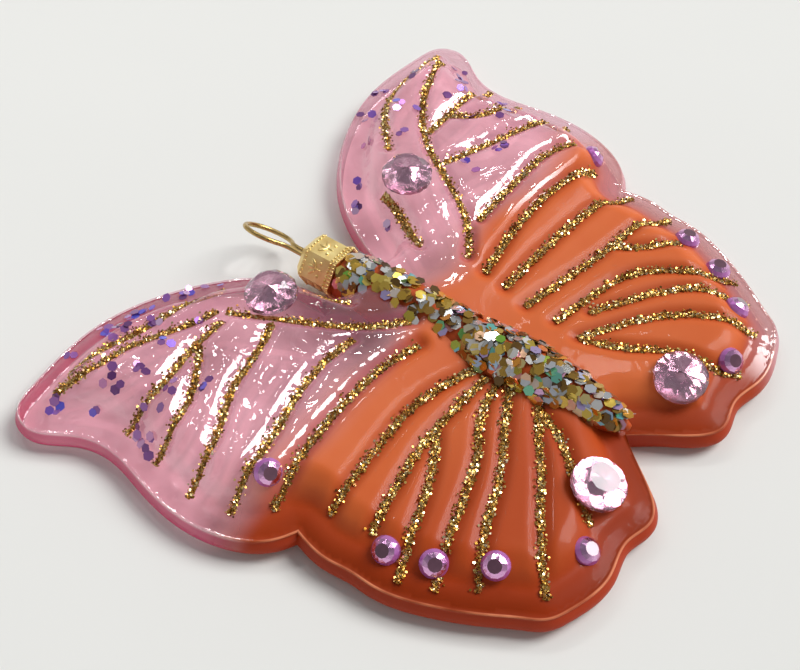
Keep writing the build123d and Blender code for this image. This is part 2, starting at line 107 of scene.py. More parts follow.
VEINS: dict[str, list[tuple[Share, ...]]] = {
    "left_fore_vein_edge": [((-0.31, 0.73), (-0.44, 0.735), (-0.62, 0.775), (-0.83, 0.87))],
    "left_fore_vein_root": [((-0.18, 0.49), (-0.19, 0.37), (-0.17, 0.27))],
    "left_fore_vein_cross": [((-0.11, 0.05), (-0.21, 0.16), (-0.29, 0.29), (-0.35, 0.41), (-0.42, 0.58))],
    "left_fore_vein_1": [((-0.43, 0.61), (-0.54, 0.67), (-0.67, 0.75), (-0.80, 0.79), (-0.90, 0.855))],
    "left_fore_vein_2": [
        ((-0.45, 0.565), (-0.56, 0.57), (-0.72, 0.545), (-0.86, 0.56)),
        ((-0.55, 0.56), (-0.62, 0.49), (-0.76, 0.41), (-0.88, 0.40)),
    ],
    "left_fore_vein_3": [((-0.375, 0.41), (-0.47, 0.38), (-0.59, 0.35), (-0.77, 0.245), (-0.90, 0.225))],
    "left_fore_vein_4": [((-0.265, 0.158), (-0.38, 0.172), (-0.49, 0.16), (-0.68, 0.105), (-0.87, 0.075))],
    "left_fore_vein_5": [((-0.16, -0.03), (-0.28, 0.005), (-0.42, 0.015), (-0.60, 0.0), (-0.79, -0.03))],
    "left_hind_vein_1": [((-0.10, -0.235), (-0.20, -0.19), (-0.33, -0.16), (-0.50, -0.168), (-0.71, -0.19))],
    "left_hind_vein_2": [
        ((-0.11, -0.278), (-0.26, -0.27), (-0.41, -0.275), (-0.55, -0.305), (-0.69, -0.34)),
        ((-0.34, -0.275), (-0.46, -0.365), (-0.59, -0.43), (-0.75, -0.50)),
    ],
    "left_hind_vein_3": [((-0.10, -0.32), (-0.23, -0.36), (-0.34, -0.44), (-0.51, -0.52), (-0.71, -0.61))],
    "left_hind_vein_4": [((-0.10, -0.36), (-0.25, -0.47), (-0.38, -0.56), (-0.50, -0.62), (-0.645, -0.72))],
    "left_hind_vein_5": [
        ((-0.10, -0.48), (-0.20, -0.57), (-0.31, -0.67), (-0.42, -0.76), (-0.555, -0.90)),
        ((-0.115, -0.50), (-0.17, -0.64), (-0.25, -0.75), (-0.315, -0.87)),
    ],
    "right_fore_vein_edge": [((0.93, 0.905), (0.80, 0.91), (0.67, 0.89), (0.55, 0.82), (0.39, 0.64))],
    "right_fore_vein_root": [((0.245, 0.53), (0.20, 0.40), (0.13, 0.24))],
    "right_fore_vein_1": [
        ((0.87, 0.825), (0.72, 0.76), (0.61, 0.685), (0.47, 0.52), (0.38, 0.34), (0.29, 0.175), (0.18, 0.07)),
        ((0.53, 0.58), (0.65, 0.585), (0.76, 0.585), (0.90, 0.595)),
        ((0.64, 0.575), (0.72, 0.47), (0.79, 0.445), (0.89, 0.45)),
    ],
    "right_fore_vein_2": [((0.445, 0.425), (0.56, 0.38), (0.67, 0.335), (0.78, 0.28), (0.90, 0.21))],
    "right_fore_vein_3": [((0.32, 0.147), (0.42, 0.152), (0.55, 0.155), (0.66, 0.155), (0.79, 0.095))],
    "right_fore_vein_4": [((0.17, -0.015), (0.30, 0.01), (0.54, 0.025), (0.66, 0.005), (0.77, -0.02))],
    "right_hind_vein_1": [((0.17, -0.105), (0.37, -0.11), (0.54, -0.125), (0.68, -0.155), (0.765, -0.20))],
    "right_hind_vein_2": [
        ((0.16, -0.205), (0.31, -0.24), (0.50, -0.285), (0.67, -0.32), (0.755, -0.375)),
        ((0.51, -0.285), (0.58, -0.39), (0.67, -0.475)),
    ],
    "right_hind_vein_3": [((0.17, -0.325), (0.31, -0.36), (0.47, -0.43), (0.56, -0.55), (0.655, -0.73))],
    "right_hind_vein_4": [((0.26, -0.395), (0.37, -0.48), (0.51, -0.61), (0.595, -0.82))],
    "right_hind_vein_5": [
        ((0.16, -0.43), (0.27, -0.51), (0.41, -0.65), (0.47, -0.76), (0.515, -0.905)),
        ((0.165, -0.45), (0.22, -0.60), (0.285, -0.72), (0.325, -0.87), (0.36, -0.95)),
    ],
}
CONFETTI: dict[str, tuple[Share, ...]] = {
    "left_confetti": (
        (-0.57, 0.93), (-0.53, 0.89), (-0.39, 0.83), (-0.46, 0.88), (-0.32, 0.80), (-0.65, 0.92),
        (-0.64, 0.82), (-0.57, 0.75), (-0.49, 0.62), (-0.78, 0.94), (-0.77, 0.70), (-0.73, 0.64),
        (-0.85, 0.74), (-0.92, 0.82), (-0.81, 0.64), (-0.60, 0.63), (-0.70, 0.50), (-0.77, 0.49),
        (-0.64, 0.42), (-0.84, 0.50), (-0.85, 0.46),
    ),
    "right_confetti": (
        (0.90, 0.77), (0.81, 0.69), (0.77, 0.65), (0.70, 0.67), (0.67, 0.50), (0.72, 0.83),
        (0.66, 0.95), (0.53, 0.91), (0.47, 0.63), (0.57, 0.74), (0.42, 0.78), (0.28, 0.68),
        (0.20, 0.60), (0.15, 0.43), (0.86, 0.51), (0.73, 0.40), (0.61, 0.29), (0.48, 0.33),
    ),
}


class Body(Enum):
    """The bodies that the pieces built here ride on."""

    GLASS = "glass"
    CAP = "cap"


class Slot(Enum):
    """Names for the material slots of the pieces built here; nothing here gives them to a piece."""

    GLASS = "blown_glass"
    CAP = "cap_metal"
    LARGE_GEM = "large_gem"
    SMALL_GEM = "small_gem"
    GLITTER = "gold_glitter"
    SEQUIN = "holographic_sequin"
    CONFETTI = "purple_confetti"


class Facet(Enum):
    """The kinds of face on a gem, by the place of their finish."""

    RIM = 0
    BACK = 1
    TABLE = 2
    INNER = 3


def tint(red: int, green: int, blue: int) -> Colour:
    """Turn a colour as seen on a screen into the linear one that shaders take.

    Args:
        red: Red from 0 to 255.
        green: Green from 0 to 255.
        blue: Blue from 0 to 255.

    Returns:
        The linear colour with full alpha.
    """
    shares = [c / 255 for c in (red, green, blue)]
    linear = [((c + 0.055) / 1.055) ** 2.4 if c > 0.04045 else c / 12.92 for c in shares]
    return (linear[0], linear[1], linear[2], 1.0)


def ease(value: np.ndarray) -> np.ndarray:
    """A step from 0 to 1 with flat ends."""
    held = np.clip(value, 0.0, 1.0)
    return held * held * (3 - 2 * held)


def climb(value: np.ndarray, band: Band) -> np.ndarray:
    """A step from 0 to 1 with flat ends, over a band."""
    return ease((value - band[0]) / band[1])


def smooth_route(points: Sequence[Sequence[float]], count: int) -> np.ndarray:
    """Run a smooth curve through points.

    Args:
        points: The points in order, in plan.
        count: How many points to give back.

    Returns:
        Points evenly spread along the natural cubic curve through the given ones.
    """
    given = np.array(points, float)
    knots = np.concatenate([[0.0], np.cumsum(np.linalg.norm(np.diff(given, axis=0), axis=1))])
    spans = np.diff(knots)
    size = len(given)
    system, pull = np.eye(size), np.zeros_like(given)
    for row in range(1, size - 1):
        system[row, row - 1] = spans[row - 1]
        system[row, row] = 2 * (spans[row - 1] + spans[row])
        system[row, row + 1] = spans[row]
        rise = (given[row + 1] - given[row]) / spans[row]
        pull[row] = 6 * (rise - (given[row] - given[row - 1]) / spans[row - 1])
    bend = np.linalg.solve(system, pull)
    at = np.linspace(0.0, knots[-1], count)
    span = np.clip(np.searchsorted(knots, at, side="right") - 1, 0, size - 2)
    width = spans[span][:, None]
    high = (at - knots[span])[:, None]
    low = width - high
    curve = (bend[span] * low**3 + bend[span + 1] * high**3) / (6 * width)
    curve += (given[span] / width - bend[span] * width / 6) * low
    return curve + (given[span + 1] / width - bend[span + 1] * width / 6) * high


def plan_points(shares: Sequence[Share]) -> np.ndarray:
    """Turn shares of the half span and half length into plan positions."""
    return np.array(shares, float) * (HALF_SPAN, HALF_LENGTH)


def in_blocks(points: np.ndarray) -> list[np.ndarray]:
    """Split points into runs that are short enough to measure at once."""
    return np.array_split(points, max(1, len(points) // BLOCK))


def nearest(points: np.ndarray, line: np.ndarray) -> np.ndarray:
    """Measure how far points lie from a line of close samples.

    Args:
        points: Plan positions.
        line: Samples of the line.

    Returns:
        The distance of each point from the nearest sample.
    """
    parts = [np.sqrt(((block[:, None, :] - line[None]) ** 2).sum(-1)).min(1) for block in in_blocks(points)]
    return np.concatenate(parts)


def square_to(run: np.ndarray) -> np.ndarray:
    """Unit vectors to the left of steps in plan."""
    left = np.stack([-run[:, 1], run[:, 0]], -1)
    return left / np.maximum(np.linalg.norm(run, axis=1), TINY)[:, None]


def waver(points: np.ndarray, scale: float, layer: float) -> np.ndarray:
    """Smooth noise about zero at plan points, with its scale per millimetre."""
    return np.array([noise.noise(Vector((x * scale, y * scale, layer))) for x, y in points])


def bridge(shape: Shape, first: Ring, second: Ring) -> None:
    """Join two closed rings of corners by a strip of faces.

    Args:
        shape: The shape in the making.
        first: The corners of one ring.
        second: The corners of the other, in step with the first.
    """
    for k, (near, far) in enumerate(zip(first, second)):
        following = (k + 1) % len(first)
        shape.faces.new([near, first[following], second[following], far])


def close_shape(name: str, shape: Shape) -> Mesh:
    """Turn a shape in the making into a mesh whose faces look outward.

    Args:
        name: The mesh's name.
        shape: The shape, in metres.

    Returns:
        The mesh.
    """
    bmesh.ops.recalc_face_normals(shape, faces=shape.faces[:])
    mesh = bpy.data.meshes.new(name)
    shape.to_mesh(mesh)
    shape.free()
    return mesh


def smooth(mesh: Mesh) -> Mesh:
    """Shade a mesh as one smooth skin and give it back."""
    mesh.polygons.foreach_set("use_smooth", [True] * len(mesh.polygons))
    return mesh


def write_values(mesh: Mesh, values: dict[str, np.ndarray]) -> None:
    """Store numbers by name on each vertex for a finish to read."""
    for name, numbers in values.items():
        mesh.attributes.new(name, "FLOAT", "POINT").data.foreach_set("value", numbers.astype(np.float32))


def link_mesh(name: str, mesh: Mesh, *materials: Material) -> bpy.types.Object:
    """Put a mesh in the scene.

    Args:
        name: The piece's name.
        mesh: The mesh, in metres.
        materials: The finishes in slot order.

    Returns:
        The new object.
    """
    for material in materials:
        mesh.materials.append(material)
    piece = bpy.data.objects.new(name, mesh)
    bpy.context.scene.collection.objects.link(piece)
    return piece


def settle(piece: bpy.types.Object, body: Body, slot: Slot, *nodes: str) -> None:
    """Let a piece ride on a body and stand for solids.

    Args:
        piece: The piece, in place.
        body: The body that it moves with.
        slot: Not used.
        nodes: The solids that it stands for.
    """
    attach(piece, body.value)
    if nodes:
        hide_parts(*nodes)
    LOG.info("%s: %d faces on %s", piece.name, len(piece.data.polygons), body.value)


class FinishTree:
    """A material's node tree, built node by node."""

    def __init__(self, name: str) -> None:
        """Start an empty tree with an output.

        Args:
            name: The finish's name.
        """
        self.material = bpy.data.materials.new(name)
        self.material.use_nodes = True
        self.nodes = self.material.node_tree.nodes
        self.links = self.material.node_tree.links
        self.nodes.clear()
        self.output = self.nodes.new("ShaderNodeOutputMaterial")

    def add(self, kind: str, inputs: Optional[dict] = None, **settings: object) -> bpy.types.Node:
        """Add a node.

        Args:
            kind: The node's type.
            inputs: Values or sockets by input name or number.
            settings: Properties of the node.

        Returns:
            The new node.
        """
        node = self.nodes.new(kind)
        for key, value in settings.items():
            setattr(node, key, value)
        for key, value in (inputs or {}).items():
            if isinstance(value, bpy.types.NodeSocket):
                self.links.new(value, node.inputs[key])
            else:
                node.inputs[key].default_value = value
        return node

    def value(self, name: str) -> Socket:
        """Read a number stored on the mesh."""
        return self.add("ShaderNodeAttribute", attribute_name=name).outputs["Fac"]

    def place(self) -> Socket:
        """Read the position on the piece, in metres."""
        return self.add("ShaderNodeTexCoord").outputs["Object"]

    def blend(self, factor: object, first: object, second: object) -> Socket:
        """Mix two colours by a factor."""
        return self.add("ShaderNodeMix", {0: factor, 6: first, 7: second}, data_type="RGBA").outputs[2]

    def reckon(self, operation: str, first: object, second: object, clamp: bool = False) -> Socket:
        """Do one step of arithmetic."""
        inputs = {0: first, 1: second}
        return self.add("ShaderNodeMath", inputs, operation=operation, use_clamp=clamp).outputs[0]

    def plus(self, first: object, second: object, clamp: bool = False) -> Socket:
        """Add two numbers."""
        return self.reckon("ADD", first, second, clamp)

    def times(self, first: object, second: object) -> Socket:
        """Multiply two numbers."""
        return self.reckon("MULTIPLY", first, second)

    def most(self, first: object, second: object) -> Socket:
        """Take the larger of two numbers."""
        return self.reckon("MAXIMUM", first, second)

    def fit(self, value: object, line: Fit, clamp: bool = False) -> Socket:
        """Multiply a number by a factor and add an offset."""
        inputs = {0: value, 1: line[0], 2: line[1]}
        return self.add("ShaderNodeMath", inputs, operation="MULTIPLY_ADD", use_clamp=clamp).outputs[0]

    def ramp(self, factor: object, stops: Stops) -> Socket:
        """Turn a number into a colour.

        Args:
            factor: The number, from 0 to 1.
            stops: Positions and colours.

        Returns:
            The colour.
        """
        node = self.add("ShaderNodeValToRGB", {0: factor})
        while len(node.color_ramp.elements) < len(stops):
            node.color_ramp.elements.new(1.0)
        for element, (position, colour) in zip(node.color_ramp.elements, stops):
            element.position = position
            element.color = colour
        return node.outputs["Color"]

    def speckle(self, scale: float, detail: float = 2.0, bend: float = 0.0) -> Socket:
        """Cloudy noise over the piece, with its scale per metre."""
        inputs = {"Vector": self.place(), "Scale": scale, "Detail": detail, "Distortion": bend}
        return self.add("ShaderNodeTexNoise", inputs).outputs["Fac"]

    def bump(self, height: object, strength: float, distance: float) -> Socket:
        """Turn heights into a bumped normal."""
        inputs = {"Height": height, "Strength": strength, "Distance": distance}
        return self.add("ShaderNodeBump", inputs).outputs["Normal"]

    def skin(self, inputs: dict) -> Socket:
        """Add the main shader with the given inputs."""
        return self.add("ShaderNodeBsdfPrincipled", inputs).outputs[0]

    def close(self, shader: Socket) -> Material:
        """Join the shader to the output and give the material back."""
        self.links.new(shader, self.output.inputs["Surface"])
        return self.material


@dataclass(frozen=True)
class LacqueredGlass:
    """Clear pink glass that turns to milky orange lacquer towards the hindwings."""

    pink: Colour = tint(248, 212, 222)
    pink_mid: Colour = tint(236, 170, 194)
    # Deeper pink laid on the pillow flanks as painted shade.
    pink_flank_shade: Colour = tint(214, 104, 144)
    pink_back: Colour = tint(255, 214, 221)
    pink_under: Colour = tint(206, 62, 108)
    # The seam colours are a painted highlight along the mould line.
    pink_seam_highlight: Colour = tint(250, 206, 208)
    pink_through: Colour = tint(255, 239, 244)
    orange: Colour = tint(206, 88, 34)
    orange_light: Colour = tint(226, 122, 68)
    # The darker orange of the pillow valleys, where it is painted shade, and of the flat margin.
    orange_deep: Colour = tint(164, 54, 12)
    orange_under: Colour = tint(168, 52, 12)
    orange_seam_highlight: Colour = tint(232, 146, 104)
    orange_through: Colour = tint(248, 190, 140)
    cloud_scale: float = 70.0
    cloud_detail: float = 3.0
    pillow_flank: Fit = (-3.2, 3.2)
    # How much lighter the pillow tops are than the valleys: painted light and shade.
    pillow_painted_light: Fit = (0.7, 0.15)
    deep_light: Fit = (-0.65, 1.0)
    seam_scale: float = 120.0
    seam_breaks: Fit = (2.4, -0.75)
    margin_milk: Fit = (0.3, 0.5)
    ombre_clear: Fit = (-1.0, 1.0)
    facing_blend: float = 0.4
    facing_power: float = 2.0
    facing_cover: Fit = (0.45, 0.12)
    flank_cover: float = 0.26
    under_cover: float = 0.68
    # How much the painted seam highlight hides.
    seam_highlight_cover: float = 0.6
    back_cover: float = 0.72
    wrinkle_scale: float = 170.0
    wrinkle_detail: float = 1.5
    wrinkle_bend: float = 1.6
    wrinkle_share: Fit = (-0.8, 1.0)
    wrinkle_bump: tuple[float, float] = (0.7, 0.0003)
    coat_bump: tuple[float, float] = (1.0, 0.0004)
    under_dull: float = 0.85
    coat: Fit = (-0.99, 1.0)
    coat_roughness: float = 0.03
    coat_index: float = 4.0
    roughness: Fit = (0.2, 0.22)
    index: float = 1.5
    specular: float = 0.16

    def paint(self, tree: FinishTree, flank: Socket, seam_highlight: Socket) -> Socket:
        """Lay the colours of the upper face, the lower half, the underside and the seam.

        Args:
            tree: The finish in the making.
            flank: How far a spot lies on the flank of a pillow, where painted shade deepens the pink.
            seam_highlight: Where the broken line of the seam shows as a painted highlight.

        Returns:
            The colour.
        """
        ombre, cloud = tree.value("ombre"), tree.speckle(self.cloud_scale, self.cloud_detail)
        # Deeper pink on the flanks of the pillows: painted shade.
        rose = tree.blend(flank, tree.blend(cloud, self.pink, self.pink_mid), self.pink_flank_shade)
        # Painted light and shade on the orange: lighter pillow tops, darker valleys and margin, and darker
        # towards the tail on the left wing.
        deep = tree.fit(tree.value("deep"), self.deep_light)
        light = tree.times(tree.fit(tree.value("pillow"), self.pillow_painted_light), deep)
        amber = tree.blend(light, self.orange_deep, tree.blend(cloud, self.orange, self.orange_light))
        back = tree.blend(ombre, self.pink_back, self.orange)
        upper = tree.blend(tree.value("back"), tree.blend(ombre, rose, amber), back)
        lower = tree.blend(ombre, self.pink_under, self.orange_under)
        # The pale seam line is a painted highlight.
        seam = tree.blend(ombre, self.pink_seam_highlight, self.orange_seam_highlight)
        return tree.blend(seam_highlight, tree.blend(tree.value("under"), upper, lower), seam)

    def cover(self, tree: FinishTree, flank: Socket, seam_highlight: Socket) -> Socket:
        """Work out how much each spot hides of what lies behind it.

        Args:
            tree: The finish in the making.
            flank: How far a spot lies on the flank of a pillow.
            seam_highlight: Where the broken line of the seam shows as a painted highlight.

        Returns:
            The cover, from 0 to 1.
        """
        ombre = tree.value("ombre")
        milk = tree.times(ombre, tree.fit(tree.value("margin"), self.margin_milk))
        facing = tree.add("ShaderNodeLayerWeight", {"Blend": self.facing_blend}).outputs["Facing"]
        edge = tree.fit(tree.reckon("POWER", facing, self.facing_power), self.facing_cover)
        clear = tree.fit(ombre, self.ombre_clear)
        edge = tree.plus(edge, tree.times(clear, tree.times(flank, self.flank_cover)))
        under = tree.times(tree.value("under"), self.under_cover)
        band = tree.most(under, tree.times(seam_highlight, self.seam_highlight_cover))
        band = tree.most(band, tree.times(tree.value("back"), self.back_cover))
        return tree.plus(tree.plus(milk, edge), band, clamp=True)

    def material(self) -> Material:
        """Build the finish from the values stored on the glass.

        Returns:
            The finish.
        """
        tree = FinishTree("lacquered_glass")
        ombre, pillow = tree.value("ombre"), tree.value("pillow")
        # How far a spot lies on a pillow's flank, where the finish paints shade into the pink and raises the
        # cover.
        flank = tree.times(tree.fit(pillow, self.pillow_flank), pillow)
        # Where the painted seam highlight shows, broken up by noise.
        breaks = tree.fit(tree.speckle(self.seam_scale), self.seam_breaks, clamp=True)
        seam_highlight = tree.times(tree.value("seam"), breaks)
        wrinkle = tree.speckle(self.wrinkle_scale, self.wrinkle_detail, self.wrinkle_bend)
        flow = tree.times(wrinkle, tree.fit(ombre, self.wrinkle_share))
        under = tree.times(tree.value("under"), self.under_dull)
        dull = tree.most(tree.most(ombre, tree.value("back")), under)
        skin = tree.skin(
            {
                "Base Color": self.paint(tree, flank, seam_highlight),
                "Roughness": tree.fit(ombre, self.roughness),
                "IOR": self.index,
                "Specular IOR Level": self.specular,
                "Coat Weight": tree.fit(dull, self.coat),
                "Coat Roughness": self.coat_roughness,
                "Coat IOR": self.coat_index,
                "Normal": tree.bump(flow, *self.wrinkle_bump),
                "Coat Normal": tree.bump(flow, *self.coat_bump),
            }
        )
        tone = tree.blend(ombre, self.pink_through, self.orange_through)
        through = tree.add("ShaderNodeBsdfTransparent", {"Color": tone}).outputs[0]
        cover = self.cover(tree, flank, seam_highlight)
        return tree.close(tree.add("ShaderNodeMixShader", {0: cover, 1: through, 2: skin}).outputs[0])


@dataclass(frozen=True)
class FlakeFinish:
    """Metallised film flakes in a range of colours, one colour a flake."""

    name: str
    stops: Stops
    roughness: float
    metallic: float
    grain: float = 900.0
    rough_spread: float = 0.18
    coat: float = 0.6
    coat_roughness: float = 0.08

    def material(self) -> Material:
        """Build the finish from the tone stored on each flake.

        Returns:
            The finish.
        """
        tree = FinishTree(self.name)
        spread = (self.rough_spread, self.roughness - self.rough_spread / 2)
        inputs = {
            "Base Color": tree.ramp(tree.value("tone"), self.stops),
            "Metallic": self.metallic,
            "Roughness": tree.fit(tree.speckle(self.grain), spread),
            "Coat Weight": self.coat,
            "Coat Roughness": self.coat_roughness,
        }
        return tree.close(tree.skin(inputs))


@dataclass(frozen=True)
class GlueFinish:
    """Clear glue packed with fine gold glitter."""

    stops: Stops = ((0.0, tint(122, 78, 26)), (0.55, tint(196, 146, 52)), (1.0, tint(248, 222, 140)))
    cell_scale: float = 2600.0
    metallic: float = 0.7
    roughness: float = 0.3
    coat: float = 0.5
    cell_bump: tuple[float, float] = (0.6, 0.0003)

    def material(self) -> Material:
        """Build a bed of small cells, each with its own tone.

        Returns:
            The finish.
        """
        tree = FinishTree("glitter_glue")
        cells = tree.add("ShaderNodeTexVoronoi", {"Vector": tree.place(), "Scale": self.cell_scale})
        tone = tree.add("ShaderNodeSeparateColor", {0: cells.outputs["Color"]}).outputs[0]
        inputs = {
            "Base Color": tree.ramp(tone, self.stops),
            "Metallic": self.metallic,
            "Roughness": self.roughness,
            "Coat Weight": self.coat,
            "Normal": tree.bump(cells.outputs["Distance"], *self.cell_bump),
        }
        return tree.close(tree.skin(inputs))


@dataclass(frozen=True)
class GemGlass:
    """The clear tinted crown of a flat-back gem."""

    name: str
    colour: Colour
    grain: float = 600.0
    roughness: float = 0.05
    index: float = 1.55

    def material(self) -> Material:
        """Build clear glass with a faint cloud in its gloss.

        Returns:
            The finish.
        """
        tree = FinishTree(self.name)
        inputs = {
            "Base Color": self.colour,
            "Roughness": tree.times(tree.speckle(self.grain), self.roughness),
            "IOR": self.index,
            "Transmission Weight": 1.0,
        }
        return tree.close(tree.skin(inputs))


@dataclass(frozen=True)
class GlossFinish:
    """Coloured glass over foil, seen as one glossy face."""

    name: str
    light: Colour
    dark: Colour
    grain: float = 500.0
    roughness: float = 0.18
    metallic: float = 0.35
    coat_roughness: float = 0.03

    def material(self) -> Material:
        """Build a glossy face with a mottled tone.

        Returns:
            The finish.
        """
        tree = FinishTree(self.name)
        inputs = {
            "Base Color": tree.blend(tree.speckle(self.grain), self.dark, self.light),
            "Roughness": self.roughness,
            "Metallic": self.metallic,
            "Coat Weight": 1.0,
            "Coat Roughness": self.coat_roughness,
        }
        return tree.close(tree.skin(inputs))


@dataclass(frozen=True)
class MetalFinish:
    """Bare or plated metal, with a tone that varies and light wear."""

    name: str
    light: Colour
    dark: Colour
    roughness: float
    grain: float = 420.0
    grain_detail: float = 4.0
    fine_share: float = 5.0
    rough_spread: float = 0.22
    rough_drop: float = 0.08
    fine_bump: tuple[float, float] = (0.2, 0.0001)

    def material(self) -> Material:
        """Build the metal with mottled tone, gloss and a fine bump.

        Returns:
            The finish.
        """
        tree = FinishTree(self.name)
        cloud = tree.speckle(self.grain, self.grain_detail)
        inputs = {
            "Base Color": tree.blend(cloud, self.dark, self.light),
            "Metallic": 1.0,
            "Roughness": tree.fit(cloud, (self.rough_spread, self.roughness - self.rough_drop)),
            "Normal": tree.bump(tree.speckle(self.grain * self.fine_share), *self.fine_bump),
        }
        return tree.close(tree.skin(inputs))


@dataclass(frozen=True)
class PaperFinish:
    """The plain pale floor."""

    colour: Colour = tint(231, 231, 227)
    shade: float = 0.97
    grain: float = 14.0
    roughness: float = 0.85
    specular: float = 0.2

    def material(self) -> Material:
        """Build a matt surface with a very faint tone.

        Returns:
            The finish.
        """
        tree = FinishTree("pale_floor")
        dark = tuple(self.shade * c for c in self.colour[:3]) + (1.0,)
        inputs = {
            "Base Color": tree.blend(tree.speckle(self.grain), dark, self.colour),
            "Roughness": self.roughness,
            "Specular IOR Level": self.specular,
        }
        return tree.close(tree.skin(inputs))


GOLD_STOPS: Stops = (
    (0.0, tint(112, 68, 20)), (0.3, tint(180, 124, 42)), (0.6, tint(218, 170, 72)),
    (0.85, tint(246, 216, 136)), (1.0, tint(255, 244, 208)),
)
HOLO_STOPS: Stops = (
    (0.0, tint(92, 64, 26)), (0.16, tint(150, 112, 44)), (0.28, tint(206, 166, 64)),
    (0.4, tint(250, 220, 100)), (0.5, tint(176, 178, 176)), (0.62, tint(206, 210, 218)),
    (0.74, tint(246, 244, 236)), (0.8, tint(236, 150, 48)), (0.86, tint(132, 196, 70)),
    (0.91, tint(120, 208, 210)), (0.96, tint(198, 168, 224)), (1.0, tint(240, 160, 150)),
)
PURPLE_STOPS: Stops = (
    (0.0, tint(108, 56, 118)), (0.3, tint(142, 88, 156)), (0.6, tint(176, 118, 188)),
    (0.78, tint(128, 92, 220)), (0.86, tint(104, 110, 236)), (0.93, tint(216, 120, 180)),
    (1.0, tint(228, 196, 236)),
)


@dataclass
class BodyAxis:
    """The line of the body from tail to neck, and the ridge's radius along it."""

    origin: Place = (0.0, -0.77 * HALF_LENGTH, 7.2)
    lean_deg: float = 3.4
    length: float = 62.0
    stations: tuple[float, ...] = (0.0, 0.36, 0.55, 0.80, 1.0)
    radii: tuple[float, ...] = (1.6, 5.4, 4.9, 6.0, 4.6)
    start: np.ndarray = field(init=False)
    along: np.ndarray = field(init=False)
    left: np.ndarray = field(init=False)
    up: np.ndarray = field(init=False)

    def __post_init__(self) -> None:
        """Work out the directions along, to the left and up."""
        lean = math.radians(self.lean_deg)
        self.start = np.array(self.origin)
        self.along = np.array([-math.sin(lean), math.cos(lean), 0.0])
        self.left = np.array([-math.cos(lean), -math.sin(lean), 0.0])
        self.up = np.array([0.0, 0.0, 1.0])

    def radius(self, distance: float) -> float:
        """Find the ridge's radius, which swells from the tail and then waves.

        Args:
            distance: How far from the tail.

        Returns:
            The radius.
        """
        share = distance / self.length
        last = len(self.stations) - 2
        number = next((k for k in range(last) if share <= self.stations[k + 1]), last)
        step = (share - self.stations[number]) / (self.stations[number + 1] - self.stations[number])
        rise = math.sin(math.pi / 2 * step) if number == 0 else float(ease(np.array(step)))
        return self.radii[number] + (self.radii[number + 1] - self.radii[number]) * rise

    def outward(self, turn: float) -> np.ndarray:
        """The direction away from the axis, turned in radians from the left wing towards the top."""
        return self.left * math.cos(turn) + self.up * math.sin(turn)

    def point(self, distance: float, turn: float, radius: float) -> np.ndarray:
        """A point at a distance from the tail, a turn round the axis and a radius from it."""
        return self.start + self.along * distance + self.outward(turn) * radius


